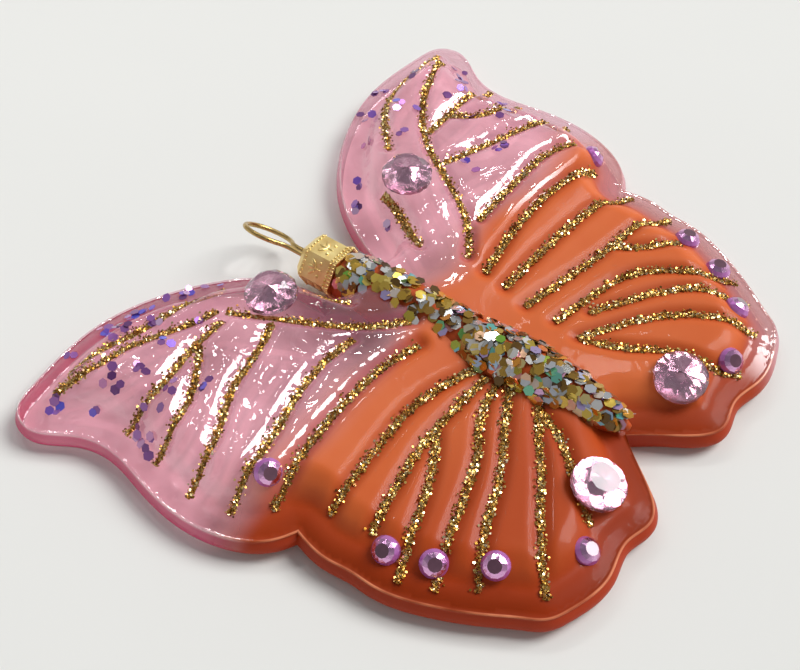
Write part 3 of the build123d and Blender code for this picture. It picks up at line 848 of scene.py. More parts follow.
@dataclass
class WingSurface:
    """The plan outline of the wings, the height of their upper face and the turn of their colour."""

    axis: BodyAxis
    rim_count: int = 300
    vein_count: int = 60
    cap_room: float = 6.1
    cap_room_band: Band = (-0.6, 0.8)
    lip_rise: float = 1.3
    lip_reach: float = 2.0
    dome_rise: float = 2.2
    dome_band: Band = (4.0, 6.0)
    fore_rise: float = 2.7
    fore_depth_band: Band = (3.0, 7.0)
    fore_band: Band = (-14.0, 18.0)
    shoulder_rise: float = 1.6
    shoulder_place: tuple[float, float] = (19.0, 24.0)
    shoulder_width: float = 8.0
    shoulder_band: Band = (0.0, 6.0)
    lobe_height: float = 1.5
    lobe_band: Band = (0.0, 2.6)
    lobe_end_band: Band = (4.0, 3.0)
    hind_lobe_loss: float = 0.4
    hind_lobe_band: Band = (-4.0, 14.0)
    wave_height: float = 0.3
    wave_scale: float = 0.16
    wave_layer: float = 3.0
    wave_depth_band: Band = (1.0, 4.0)
    wave_band: Band = (-6.0, 14.0)
    slope_step: float = 1.2
    left_turn: float = 8.0
    right_turn: float = 12.0
    turn_run: float = 11.0
    turn_drift: float = 3.0
    drift_scale: float = 0.07
    drift_layer: float = 9.0
    clear_share: float = 0.7
    clear_side_band: Band = (22.0, 16.0)
    clear_depth_band: Band = (1.0, 5.0)
    rim: np.ndarray = field(init=False)
    outline: np.ndarray = field(init=False)
    vein_lines: dict[str, list[np.ndarray]] = field(init=False)
    left_veins: np.ndarray = field(init=False)
    right_veins: np.ndarray = field(init=False)

    def __post_init__(self) -> None:
        """Lay out the outline and the lines of the veins."""
        fore = smooth_route(plan_points(FORE_RIM), self.rim_count)
        hind = smooth_route(plan_points(HIND_RIM), self.rim_count)
        self.rim = np.vstack([fore, hind[1:]])
        left = (self.rim * (-1, 1))[::-1][1:]
        self.outline = self.clear_of_cap(np.vstack([self.rim, left]))
        self.vein_lines = {
            name: [smooth_route(plan_points(route), self.vein_count) for route in group]
            for name, group in VEINS.items()
        }
        self.left_veins, self.right_veins = self.side_veins("left"), self.side_veins("right")

    def side_veins(self, side: str) -> np.ndarray:
        """All samples of the veins on one side."""
        groups = [lines for name, lines in self.vein_lines.items() if name.startswith(side)]
        return np.vstack([line for lines in groups for line in lines])

    def clear_of_cap(self, points: np.ndarray) -> np.ndarray:
        """Move outline points out of the room that the cap turns in.

        Args:
            points: Plan positions.

        Returns:
            The positions, moved to the sides where they were too near.
        """
        offset = points - self.axis.start[:2]
        along = offset @ self.axis.along[:2]
        side = offset @ self.axis.left[:2]
        room = self.cap_room * climb(along - self.axis.length, self.cap_room_band)
        short = np.maximum(room - np.abs(side), 0.0) * np.sign(side)
        return points + short[:, None] * self.axis.left[:2]

    def inside(self, points: np.ndarray) -> np.ndarray:
        """Tell which points lie inside the outline, by how often a line from each crosses it.

        Args:
            points: Plan positions.

        Returns:
            True for each point inside.
        """
        start, end = self.outline, np.roll(self.outline, -1, axis=0)
        rise = np.where(end[:, 1] == start[:, 1], TINY, end[:, 1] - start[:, 1])
        result = []
        for block in in_blocks(points):
            x, y = block[:, :1], block[:, 1:]
            crosses = (start[:, 1] > y) != (end[:, 1] > y)
            at = start[:, 0] + (y - start[:, 1]) * (end[:, 0] - start[:, 0]) / rise
            result.append((crosses & (x < at)).sum(1) % 2 == 1)
        return np.concatenate(result)

    def depth(self, points: np.ndarray) -> np.ndarray:
        """How far points lie in from the rim."""
        return nearest(np.stack([np.abs(points[:, 0]), points[:, 1]], -1), self.rim)

    def vein_distance(self, points: np.ndarray) -> np.ndarray:
        """How far points lie from the nearest vein of their own side."""
        left, right = nearest(points, self.left_veins), nearest(points, self.right_veins)
        return np.where(points[:, 0] < 0, left, right)

    def lobes(self, points: np.ndarray, depth: np.ndarray) -> np.ndarray:
        """The pillows between the veins, from 0 in a valley or on the flat margin to 1."""
        return climb(self.vein_distance(points), self.lobe_band) * climb(depth, self.lobe_end_band)

    def base_height(self, points: np.ndarray, depth: np.ndarray) -> np.ndarray:
        """Find the height of the upper face without its pillows.

        Args:
            points: Plan positions.
            depth: How far each lies in from the rim.

        Returns:
            The heights.
        """
        x, y = np.abs(points[:, 0]), points[:, 1]
        height = SEAM_HEIGHT + self.lip_rise * (1 - np.exp(-depth / self.lip_reach))
        height = height + self.dome_rise * climb(depth, self.dome_band)
        height = height + self.fore_rise * climb(depth, self.fore_depth_band) * climb(y, self.fore_band)
        apart = (x - self.shoulder_place[0]) ** 2 + (y - self.shoulder_place[1]) ** 2
        shoulder = np.exp(-apart / (2 * self.shoulder_width**2))
        return height + self.shoulder_rise * shoulder * climb(depth, self.shoulder_band)

    def height(self, points: np.ndarray) -> np.ndarray:
        """Find the height of the upper face, with its pillows and a slight wave.

        Args:
            points: Plan positions.

        Returns:
            The heights.
        """
        depth, y = self.depth(points), points[:, 1]
        wave = self.wave_height * waver(points, self.wave_scale, self.wave_layer)
        wave = wave * climb(depth, self.wave_depth_band) * climb(y, self.wave_band)
        swell = self.lobe_height * (1 - self.hind_lobe_loss * climb(-y, self.hind_lobe_band))
        return self.base_height(points, depth) + swell * self.lobes(points, depth) + wave

    def frame(self, x: float, y: float) -> tuple[np.ndarray, np.ndarray]:
        """Find a point on the upper face and the way it faces.

        Args:
            x: Plan position across.
            y: Plan position along.

        Returns:
            The point and its normal.
        """
        step = self.slope_step
        z = self.height(np.array([[x, y], [x + step, y], [x - step, y], [x, y + step], [x, y - step]]))
        normal = np.array([(z[2] - z[1]) / (2 * step), (z[4] - z[3]) / (2 * step), 1.0])
        return np.array([x, y, z[0]]), normal / np.linalg.norm(normal)

    def ombre(self, points: np.ndarray) -> np.ndarray:
        """Find how far the colour has turned from pink to orange, less so on the clear right rim.

        Args:
            points: Plan positions.

        Returns:
            The turn of each, from 0 to 1.
        """
        x, y = points[:, 0], points[:, 1]
        turn = np.where(x < 0, self.left_turn, self.right_turn)
        drift = self.turn_drift * waver(points, self.drift_scale, self.drift_layer)
        near_rim = 1 - climb(self.depth(points), self.clear_depth_band)
        clear = self.clear_share * climb(x, self.clear_side_band) * near_rim
        return ease((turn - y + drift) / self.turn_run) * (1 - clear)


@dataclass
class GlassWings:
    """The blown wings: a pillowed upper face, a seam, a bulging lower half and a nearly flat underside."""

    surface: WingSurface
    pitch: float = 0.75
    edge_room: float = 0.5
    merge: float = 1e-5
    side_rows: tuple[tuple[float, float], ...] = (
        (0.22, 4.66), (0.42, 4.58), (0.5, 4.42), (0.34, 4.2), (0.55, 3.85), (1.0, 3.2), (1.3, 2.4),
        (1.15, 1.6), (0.75, 1.0), (0.3, 0.62),
    )
    side_band: Band = (0.0, 9.0)
    foot_height: float = 0.4
    foot_band: Band = (0.0, 3.5)
    valley_lift: float = 0.35
    valley_band: Band = (0.0, 4.0)
    deep_band: Band = (8.0, 26.0)
    deep_side_band: Band = (-6.0, 12.0)
    under_band: Band = (0.15, 0.5)
    pale_share: float = 0.6
    pale_band: Band = (5.0, 25.0)
    seam_half: float = 0.25
    margin_band: Band = (1.0, 4.0)

    def build(self) -> Mesh:
        """Triangulate the plan, raise it to the upper face and close it with sides and an underside.

        Returns:
            The mesh, with the values that the finish reads.
        """
        outline = self.surface.outline
        low, high = outline.min(0), outline.max(0)
        rows = np.arange(low[1], high[1], self.pitch * math.sqrt(3) / 2)
        columns = np.arange(low[0], high[0], self.pitch)
        shifts = (0.0, self.pitch / 2)
        points = np.array([(x + shifts[number % 2], y) for number, y in enumerate(rows) for x in columns])
        kept = points[self.surface.inside(points)]
        kept = kept[nearest(kept, outline) > self.edge_room * self.pitch]
        ring = len(outline)
        given = [Vector(p) for p in outline] + [Vector(p) for p in kept]
        edges = [(i, (i + 1) % ring) for i in range(ring)]
        verts, _, faces, _, _, _ = geometry.delaunay_2d_cdt(given, edges, [], 1, self.merge)
        plan = np.array([tuple(v) for v in verts])
        mesh = self.assemble(plan, faces)
        self.store(mesh, len(plan))
        return smooth(mesh)

    @staticmethod
    def rim_loop(faces: Sequence[Sequence[int]]) -> list[int]:
        """Find the corners round the edge of a triangulated plan.

        Args:
            faces: Triangles, by index.

        Returns:
            The corners in order.
        """
        sides = dict.fromkeys((a, b) for f in faces for a, b in zip(f, list(f[1:]) + [f[0]]))
        follows = {a: b for a, b in sides if (b, a) not in sides}
        loop = [next(iter(follows))]
        while follows[loop[-1]] != loop[0]:
            loop.append(follows[loop[-1]])
        return loop

    def assemble(self, plan: np.ndarray, faces: Sequence[Sequence[int]]) -> Mesh:
        """Close the wings round a triangulated plan.

        Args:
            plan: Plan positions.
            faces: Triangles, by index.

        Returns:
            The mesh: first the corners of the upper face, then those of the underside, then the sides.
        """
        shape = bmesh.new()

        def corners(places: np.ndarray, heights: np.ndarray) -> Ring:
            """Add corners at plan positions and heights."""
            return [shape.verts.new((x * MM, y * MM, z * MM)) for (x, y), z in zip(places, heights)]

        depth = self.surface.depth(plan)
        valleys = (1 - self.surface.lobes(plan, depth)) * climb(depth, self.valley_band)
        foot = self.foot_height * (1 - climb(depth, self.foot_band)) + self.valley_lift * valleys
        tops, feet = corners(plan, self.surface.height(plan)), corners(plan, foot)
        for face in faces:
            shape.faces.new([tops[i] for i in face])
            shape.faces.new([feet[i] for i in reversed(face)])
        loop = self.rim_loop(faces)
        ring = plan[loop]
        out = -square_to(np.roll(ring, -2, axis=0) - np.roll(ring, 2, axis=0))
        swell = climb(np.abs(ring[:, 0]), self.side_band)
        rows = [[tops[i] for i in loop]]
        for reach, height in self.side_rows:
            rows.append(corners(ring + out * (reach * swell)[:, None], np.full(len(ring), height)))
        rows.append([feet[i] for i in loop])
        for upper, lower in zip(rows, rows[1:]):
            bridge(shape, upper, lower)
        return close_shape("glass_wings", shape)

    def store(self, mesh: Mesh, count: int) -> None:
        """Store the values that the finish reads.

        Args:
            mesh: The wings.
            count: How many corners the upper face and the underside each have.
        """
        positions = np.zeros(len(mesh.vertices) * 3)
        mesh.vertices.foreach_get("co", positions)
        placed = positions.reshape(-1, 3) / MM
        spots, x, y, z = placed[:, :2], placed[:, 0], placed[:, 1], placed[:, 2]
        side, back = np.zeros(len(placed)), np.zeros(len(placed))
        side[2 * count:] = 1.0
        back[count:2 * count] = 1.0
        depth = self.surface.depth(spots)
        pale = 1 - self.pale_share * climb(x, self.pale_band)
        write_values(
            mesh,
            {
                "pillow": self.surface.lobes(spots, depth) * (1 - side),
                "back": back,
                "deep": climb(-y, self.deep_band) * climb(-x, self.deep_side_band),
                "under": side * pale * climb(SEAM_HEIGHT - z, self.under_band),
                # The seam band, which the finish lightens into a painted highlight.
                "seam": side * (np.abs(z - SEAM_HEIGHT) < self.seam_half),
                "ombre": self.surface.ombre(spots),
                "margin": climb(depth, self.margin_band),
            },
        )

    def dress(self, finish: Material) -> None:
        """Put the wings in the scene in place of the shell's wings."""
        settle(link_mesh("glass_wings", self.build(), finish), Body.GLASS, Slot.GLASS, "glass_shell")


@dataclass
class GlassBody:
    """The turned body ridge with its round neck."""

    axis: BodyAxis
    neck_radius: float = 4.0
    neck_length: float = 7.4
    neck_step: float = 0.2
    wall: float = 1.2
    bore_depth: float = 6.0
    tip_radius: float = 0.05
    tip_share: float = 0.35
    tip_rows: int = 4
    rows: int = 90
    sides: int = 72
    values: dict[str, float] = field(
        default_factory=lambda: {
            "ombre": 1.0, "margin": 1.0, "pillow": 0.4, "back": 0.0, "deep": 0.0, "under": 0.0, "seam": 0.0,
        }
    )

    def profile(self) -> list[tuple[float, float]]:
        """Draw the outside, the mouth of the neck and the bore.

        Returns:
            Distances from the tail, with the radius at each.
        """
        points = [(0.0, self.tip_radius)]
        for row in range(self.rows):
            distance = self.axis.length * row / (self.rows - 1)
            growth = min(1.0, self.tip_share + (1 - self.tip_share) * row / self.tip_rows)
            points.append((distance, self.axis.radius(distance) * growth))
        length, bore = self.axis.length, self.neck_radius - self.wall
        points += [(length + self.neck_step, self.neck_radius), (length + self.neck_length, self.neck_radius)]
        points += [(length + self.neck_length, bore), (length - self.bore_depth, bore)]
        return points + [(length - self.bore_depth, self.tip_radius)]

    def build(self) -> Mesh:
        """Turn the profile round the axis.

        Returns:
            The mesh, with the values that the finish reads.
        """
        shape = bmesh.new()
        turns = [2 * math.pi * k / self.sides for k in range(self.sides)]
        rings = [
            [shape.verts.new(self.axis.point(distance, turn, radius) * MM) for turn in turns]
            for distance, radius in self.profile()
        ]
        for first, second in zip(rings, rings[1:]):
            bridge(shape, first, second)
        shape.faces.new(rings[0])
        shape.faces.new(rings[-1])
        mesh = close_shape("glass_body", shape)
        count = len(mesh.vertices)
        write_values(mesh, {name: np.full(count, value) for name, value in self.values.items()})
        return smooth(mesh)

    def dress(self, finish: Material) -> None:
        """Put the body in the scene in place of the shell's body."""
        settle(link_mesh("glass_body", self.build(), finish), Body.GLASS, Slot.GLASS, "glass_shell")


class Flake(NamedTuple):
    """One thin plate: the middle of its lower face, the way it faces, its radius, turn and tone."""

    centre: np.ndarray
    normal: np.ndarray
    radius: float
    spin: float
    tone: float


@dataclass
class FlakeBed:
    """A heap of thin closed plates that become one mesh."""

    rng: np.random.Generator
    sides: int
    thickness: float
    spin_range: float = 6.28
    upright: float = 0.9
    flakes: list[Flake] = field(default_factory=list)

    def drop(self, centre: np.ndarray, normal: np.ndarray, radius: float) -> None:
        """Add one plate, with a turn in its own plane and a tone of its own.

        Args:
            centre: The middle of its lower face.
            normal: The way it faces.
            radius: From its middle to a corner.
        """
        spin, tone = self.rng.uniform(0, self.spin_range), self.rng.uniform()
        self.flakes.append(Flake(centre, normal / np.linalg.norm(normal), radius, spin, tone))

    def build(self, name: str) -> Mesh:
        """Make the mesh of all plates.

        Args:
            name: The mesh's name.

        Returns:
            The mesh, with a tone on each plate.
        """
        sides = self.sides
        centres, normals, radii, spins, tones = (np.array(column) for column in zip(*self.flakes))
        helper = np.where(np.abs(normals[:, :1]) > self.upright, [[0.0, 1.0, 0.0]], [[1.0, 0.0, 0.0]])
        across = np.cross(normals, helper)
        across /= np.linalg.norm(across, axis=1)[:, None]
        other = np.cross(normals, across)
        turns = spins[:, None] + 2 * math.pi * np.arange(sides)[None] / sides
        spoke = np.cos(turns)[..., None] * across[:, None] + np.sin(turns)[..., None] * other[:, None]
        low = centres[:, None] + spoke * radii[:, None, None]
        high = low + normals[:, None] * self.thickness
        verts = np.concatenate([low, high], 1).reshape(-1, 3) * MM
        faces = []
        for base in range(0, len(verts), 2 * sides):
            faces.append([base + k for k in reversed(range(sides))])
            faces.append([base + sides + k for k in range(sides)])
            for k in range(sides):
                n = (k + 1) % sides
                faces.append([base + k, base + n, base + sides + n, base + sides + k])
        mesh = bpy.data.meshes.new(name)
        mesh.from_pydata(verts.tolist(), [], faces)
        write_values(mesh, {"tone": np.repeat(tones, 2 * sides)})
        return mesh


@dataclass
class GlitterVeins:
    """The ragged lines of glue and gold glitter that lie in the valleys of the wings."""

    surface: WingSurface
    rng: np.random.Generator
    half_width: float = 0.76
    least_width: float = 0.4
    rough_width: Fit = (0.3, 0.85)
    taper: Fit = (-0.35, 1.1)
    rough_scale: float = 0.9
    rough_layer: float = 1.0
    route_step: float = 0.5
    least_stations: int = 16
    section: tuple[tuple[float, float], ...] = (
        (-1.0, -0.08), (-0.55, 0.18), (0.0, 0.26), (0.55, 0.18), (1.0, -0.08),
    )
    keel: float = 0.25
    density: float = 26.0
    spread: float = 0.5
    spread_limit: float = 1.5
    spread_share: float = 1.1
    end_room: float = 1.001
    flake_sides: int = 5
    flake_thickness: float = 0.05
    flake_radius: float = 0.21
    flake_sizes: Span = (0.7, 1.35)
    flake_lifts: Span = (0.12, 0.42)
    flake_tilt: float = 0.42
    large_gem_room: float = 5.0
    small_gem_room: float = 2.5

    def bead(self, line: np.ndarray) -> tuple[list[Place], list[list[int]]]:
        """Lay a low bead of glue along a line.

        Args:
            line: Plan positions along the vein.

        Returns:
            Points in millimetres and faces.
        """
        share = np.linspace(0, 1, len(line))
        rough = self.rough_width[1] + self.rough_width[0] * waver(line, self.rough_scale, self.rough_layer)
        width = self.half_width * rough * (self.taper[1] + self.taper[0] * share)
        width = np.maximum(width, self.least_width)
        side = square_to(np.gradient(line, axis=0))
        tops = [line + side * (width * across)[:, None] for across, _ in self.section]
        heights = [self.surface.height(top) for top in tops]
        middle = heights[len(heights) // 2]
        points, faces = [], []
        for k, (x, y) in enumerate(line):
            for top, height, (_, lift) in zip(tops, heights, self.section):
                points.append((top[k][0], top[k][1], height[k] + lift))
            points.append((x, y, middle[k] - self.keel))
        ring = len(self.section) + 1
        last = (len(line) - 1) * ring
        for base in range(0, last, ring):
            for j in range(ring):
                n = (j + 1) % ring
                faces.append([base + j, base + n, base + ring + n, base + ring + j])
        faces.append(list(range(ring))[::-1])
        faces.append([last + j for j in range(ring)])
        return points, faces

    def clear(self, points: np.ndarray) -> np.ndarray:
        """Tell which points lie clear of the gems.

        Args:
            points: Plan positions.

        Returns:
            True for each point that is clear.
        """
        free = np.ones(len(points), bool)
        for gems, room in ((LARGE_GEMS, self.large_gem_room), (SMALL_GEMS, self.small_gem_room)):
            for share in gems.values():
                free &= np.linalg.norm(points - plan_points([share])[0], axis=1) > room
        return free

    def scatter(self, line: np.ndarray, total: int, bed: FlakeBed) -> None:
        """Drop flakes along a line.

        Args:
            line: Plan positions along the vein.
            total: How many flakes to try.
            bed: The heap that takes them.
        """
        at = self.rng.uniform(0, len(line) - self.end_room, total)
        whole = at.astype(int)
        run = line[whole + 1] - line[whole]
        spread = self.rng.normal(0, self.spread, total).clip(-self.spread_limit, self.spread_limit)
        spread = spread * self.half_width * self.spread_share
        spots = line[whole] + run * (at - whole)[:, None] + square_to(run) * spread[:, None]
        spots = spots[self.clear(spots) & self.surface.inside(spots)]
        for (x, y), z in zip(spots, self.surface.height(spots)):
            lift = self.rng.uniform(*self.flake_lifts)
            tilt = np.array([self.rng.normal(0, self.flake_tilt), self.rng.normal(0, self.flake_tilt), 1.0])
            radius = self.flake_radius * self.rng.uniform(*self.flake_sizes)
            bed.drop(np.array([x, y, z + lift]), tilt, radius)

    def build(self, name: str) -> tuple[Mesh, Mesh]:
        """Make one vein.

        Args:
            name: The vein's name.

        Returns:
            The glue bead and the flakes.
        """
        verts, faces = [], []
        bed = FlakeBed(self.rng, self.flake_sides, self.flake_thickness)
        for line in self.surface.vein_lines[name]:
            length = np.linalg.norm(np.diff(line, axis=0), axis=1).sum()
            stations = max(self.least_stations, int(length / self.route_step))
            points, rings = self.bead(line[np.linspace(0, len(line) - 1, stations).astype(int)])
            faces += [[len(verts) + i for i in ring] for ring in rings]
            verts += points
            self.scatter(line, int(length * self.density), bed)
        mesh = bpy.data.meshes.new(f"{name}_glue")
        mesh.from_pydata((np.array(verts) * MM).tolist(), [], faces)
        return smooth(mesh), bed.build(f"{name}_flakes")

    def dress(self, glue: Material, gold: Material) -> None:
        """Put every vein in the scene.

        Args:
            glue: The finish of the beads.
            gold: The finish of the flakes.
        """
        for name in VEINS:
            bead, flakes = self.build(name)
            settle(link_mesh(f"{name}_glue", bead, glue), Body.GLASS, Slot.GLITTER, name)
            settle(link_mesh(f"{name}_flakes", flakes, gold), Body.GLASS, Slot.GLITTER, name)


@dataclass
class Gem:
    """A flat-back gem: a faceted crown over a silvered, faceted back."""

    surface: WingSurface
    name: str
    share: Share
    width: float
    height: float
    sides: int = 12
    sink: float = 0.4
    girdle: float = 0.25
    crown_share: float = 0.82
    crown_height: float = 0.68
    table_share: float = 0.5
    back_share: float = 0.5

    def ring(self, shape: Shape, count: int, share: float, height: float, offset: float = 0.0) -> Ring:
        """Add corners evenly round the gem.

        Args:
            shape: The shape in the making.
            count: How many corners.
            share: How far out, as a share of the gem's radius.
            height: How high, in millimetres.
            offset: The turn of the first corner, in steps.

        Returns:
            The corners in order.
        """
        reach = self.width / 2 * share * MM
        turns = [2 * math.pi * (k + offset) / count for k in range(count)]
        return [shape.verts.new((reach * math.cos(t), reach * math.sin(t), height * MM)) for t in turns]

    def build(self) -> Mesh:
        """Cut the gem's facets in its own frame and set it on the glass.

        Returns:
            The mesh, with the place of its finish on each face.
        """
        shape, n = bmesh.new(), self.sides
        foot = self.ring(shape, 2 * n, 1.0, -self.sink)
        belt = self.ring(shape, 2 * n, 1.0, self.girdle * self.height)
        crown = self.ring(shape, n, self.crown_share, self.crown_height * self.height, 0.5)
        table = self.ring(shape, n, self.table_share, self.height)
        apex = shape.verts.new((0, 0, self.back_share * self.height * MM))
        bridge(shape, foot, belt)
        facets = [(Facet.BACK, [foot[(k + 1) % (2 * n)], foot[k], apex]) for k in range(2 * n)]
        for k in range(n):
            m = (k + 1) % n
            a, b, c = belt[2 * k], belt[2 * k + 1], belt[2 * m]
            facets += [(Facet.RIM, [a, b, crown[k]]), (Facet.RIM, [b, c, crown[k]])]
            facets += [(Facet.RIM, [c, crown[m], crown[k]]), (Facet.INNER, [crown[k], crown[m], table[m]])]
            facets.append((Facet.INNER, [table[k], crown[k], table[m]]))
        facets.append((Facet.TABLE, table))
        for kind, corners in facets:
            shape.faces.new(corners).material_index = kind.value
        x, y = plan_points([self.share])[0]
        seat, normal = self.surface.frame(float(x), float(y))
        turn = Vector((0, 0, 1)).rotation_difference(Vector(normal)).to_matrix().to_4x4()
        place = Matrix.Translation(Vector(seat * MM)) @ turn
        bmesh.ops.transform(shape, matrix=place, verts=shape.verts[:])
        return close_shape(self.name, shape)

    def dress(self, finishes: Sequence[Material], slot: Slot) -> None:
        """Put the gem in the scene, with finishes for its rim, back, table and inner facets."""
        settle(link_mesh(f"{self.name}_cut", self.build(), *finishes), Body.GLASS, slot, self.name)


@dataclass
class GemTrim:
    """The four large clear gems and the ten small lilac ones."""

    surface: WingSurface
    large_width: float = 10.0
    large_height: float = 3.2
    large_sides: int = 8
    large_table: float = 0.58
    small_width: float = 5.0
    small_height: float = 1.8

    def dress(self) -> None:
        """Cut every gem and put it in the scene."""
        foil = MetalFinish("gem_foil", tint(250, 238, 245), tint(220, 180, 203), roughness=0.1, grain=800.0)
        pale = GemGlass("pale_gem", tint(253, 218, 231))
        lilac = GlossFinish("lilac_rim", tint(206, 128, 200), tint(168, 86, 172))
        # The small gems' dark table is a painted reflection of the gem's inside.
        table = GlossFinish("dark_table_painted_reflection", tint(126, 84, 104), tint(84, 52, 66))
        mirror = MetalFinish(
            "lilac_mirror", tint(250, 206, 240), tint(206, 132, 196), roughness=0.16, grain=700.0
        )
        back, clear = foil.material(), pale.material()
        large = (clear, back, clear, clear)
        small = (lilac.material(), back, table.material(), mirror.material())
        for name, share in LARGE_GEMS.items():
            gem = Gem(
                self.surface, name, share, self.large_width, self.large_height, self.large_sides,
                table_share=self.large_table,
            )
            gem.dress(large, Slot.LARGE_GEM)
        for name, share in SMALL_GEMS.items():
            Gem(self.surface, name, share, self.small_width, self.small_height).dress(small, Slot.SMALL_GEM)


@dataclass
class BodySequins:
    """The overlapping holographic hexagons that cover the top of the body."""

    surface: WingSurface
    axis: BodyAxis
    rng: np.random.Generator
    count: int = 470
    sides: int = 6
    thickness: float = 0.07
    radius: float = 1.12
    sizes: Span = (0.88, 1.05)
    arc_deg: float = 74.0
    tail_room: float = 1.0
    neck_room: float = 0.6
    least_share: float = 0.25
    full_radius: float = 6.0
    lifts: Span = (0.08, 0.75)
    wing_room: float = 0.3
    tilt: float = 0.17

    def build(self) -> Mesh:
        """Scatter the plates over the ridge in a loose heap, thinner where the ridge is thin.

        Returns:
            The mesh.
        """
        bed = FlakeBed(self.rng, self.sides, self.thickness)
        while len(bed.flakes) < self.count:
            distance = self.rng.uniform(self.tail_room, self.axis.length - self.neck_room)
            turn = math.radians(90 + self.rng.uniform(-self.arc_deg, self.arc_deg))
            ridge = self.axis.radius(distance)
            if self.rng.uniform() > self.least_share + (1 - self.least_share) * ridge / self.full_radius:
                continue
            spot = self.axis.point(distance, turn, ridge + self.rng.uniform(*self.lifts))
            if spot[2] < self.surface.height(spot[None, :2])[0] + self.wing_room:
                continue
            normal = self.axis.outward(turn) + self.rng.normal(0, self.tilt, 3)
            bed.drop(spot, normal, self.radius * self.rng.uniform(*self.sizes))
        return bed.build("body_sequins_heap")

    def dress(self, finish: Material) -> None:
        """Put the sequins in the scene."""
        settle(link_mesh("body_sequins_heap", self.build(), finish), Body.GLASS, Slot.SEQUIN, "body_sequins")


@dataclass
class Confetti:
    """The small clumps of purple hexagons on the forewings."""

    surface: WingSurface
    rng: np.random.Generator
    sides: int = 6
    thickness: float = 0.07
    radius: float = 0.95
    sizes: Span = (0.75, 1.1)
    clump: tuple[int, int] = (2, 6)
    stray: float = 0.95
    tilt: float = 0.2
    lifts: Span = (0.25, 0.6)

    def build(self, name: str) -> Mesh:
        """Drop a few plates at each place of one side.

        Args:
            name: The side's name.

        Returns:
            The mesh.
        """
        bed = FlakeBed(self.rng, self.sides, self.thickness)
        for share in CONFETTI[name]:
            for _ in range(int(self.rng.integers(*self.clump))):
                spot = plan_points([share])[0] + self.rng.normal(0, self.stray, 2)
                if not self.surface.inside(spot[None])[0]:
                    continue
                point, normal = self.surface.frame(float(spot[0]), float(spot[1]))
                tilted = normal + self.rng.normal(0, self.tilt, 3)
                lift = normal * self.rng.uniform(*self.lifts)
                bed.drop(point + lift, tilted, self.radius * self.rng.uniform(*self.sizes))
        return bed.build(f"{name}_clumps")

    def dress(self, finish: Material) -> None:
        """Put both sides in the scene."""
        for name in CONFETTI:
            settle(link_mesh(f"{name}_clumps", self.build(name), finish), Body.GLASS, Slot.CONFETTI, name)


class Mark(NamedTuple):
    """A low dome on one side of the cap: its place, its half sizes, its turn and the side's reach."""

    along: float
    across: float
    long: float
    wide: float
    bend: float
    reach: float


@dataclass
class CapRelief:
    """The stamped leaves, beads and flutes on the six sides of the cap."""

    axis: BodyAxis
    start: float = 62.25
    length: float = 8.6
    shoulder: float = 1.3
    rim_length: float = 0.9
    flat: float = 4.6
    rim_flat: float = 4.95
    turn_deg: float = 7.0
    sides: int = 6
    relief: float = 0.28
    bead_count: int = 6
    bead_shares: Fit = (0.332, -0.83)
    low_bead: float = 0.3
    low_bead_room: float = 0.5
    high_bead: float = 0.28
    high_bead_room: float = 0.4
    flute_count: int = 8
    flute_shares: Fit = (0.246, -0.86)
    flute_size: tuple[float, float] = (0.42, 0.2)
    flower_place: float = 4.25
    leaf_leans_deg: tuple[float, ...] = (-52.0, 0.0, 52.0)
    leaf_size: tuple[float, float] = (1.05, 0.42)
    leaf_rise: float = 0.75
    leaf_spread: float = 1.05
    stem_size: tuple[float, float] = (0.7, 0.2)
    stem_drop: float = 0.75
    berry: float = 0.36
    berry_drop: float = 0.9
    berry_spread: float = 1.35
    dome_rings: tuple[int, int] = (12, 8)

    def marks(self) -> list[Mark]:
        """Lay out the relief of one side.

        Returns:
            The domes.
        """
        slope = math.tan(math.pi / self.sides)
        low = self.start + self.rim_length + self.low_bead_room
        high = self.start + self.length - self.shoulder - self.high_bead_room
        middle = self.start + self.flower_place
        marks = []
        for k in range(self.bead_count):
            across = self.flat * slope * (self.bead_shares[1] + self.bead_shares[0] * k)
            marks.append(Mark(low, across, self.low_bead, self.low_bead, 0.0, self.flat))
            marks.append(Mark(high, across, self.high_bead, self.high_bead, 0.0, self.flat))
        for k in range(self.flute_count):
            across = self.rim_flat * slope * (self.flute_shares[1] + self.flute_shares[0] * k)
            marks.append(Mark(self.start + self.rim_length / 2, across, *self.flute_size, 0.0, self.rim_flat))
        for bend in (math.radians(lean) for lean in self.leaf_leans_deg):
            along, across = middle + self.leaf_rise * math.cos(bend), self.leaf_spread * math.sin(bend)
            marks.append(Mark(along, across, *self.leaf_size, bend, self.flat))
        marks.append(Mark(middle - self.stem_drop, 0.0, *self.stem_size, 0.0, self.flat))
        for across in (-self.berry_spread, self.berry_spread):
            marks.append(Mark(middle - self.berry_drop, across, self.berry, self.berry, 0.0, self.flat))
        return marks

    def build(self) -> Mesh:
        """Raise the relief on each side as low domes.

        Returns:
            The mesh.
        """
        shape = bmesh.new()
        segments, rings = self.dome_rings
        start, along = Vector(self.axis.start), Vector(self.axis.along)
        to_metres = Matrix.Scale(MM, 4)
        for side in range(self.sides):
            turn = math.radians(self.turn_deg) + 2 * math.pi * (side + 0.5) / self.sides
            outward = Vector(self.axis.outward(turn))
            across = along.cross(outward)
            for mark in self.marks():
                forward = along * math.cos(mark.bend) + across * math.sin(mark.bend)
                sideways = outward.cross(forward)
                centre = start + along * mark.along + across * mark.across + outward * mark.reach
                axes = Matrix((forward * mark.long, sideways * mark.wide, outward * self.relief))
                place = Matrix.Translation(centre * MM) @ to_metres @ axes.transposed().to_4x4()
                bmesh.ops.create_uvsphere(
                    shape, u_segments=segments, v_segments=rings, radius=1.0, matrix=place
                )
        return smooth(close_shape("cap_relief", shape))

    def dress(self, finish: Material) -> None:
        """Put the relief on the cap."""
        settle(link_mesh("cap_relief", self.build(), finish), Body.CAP, Slot.CAP)


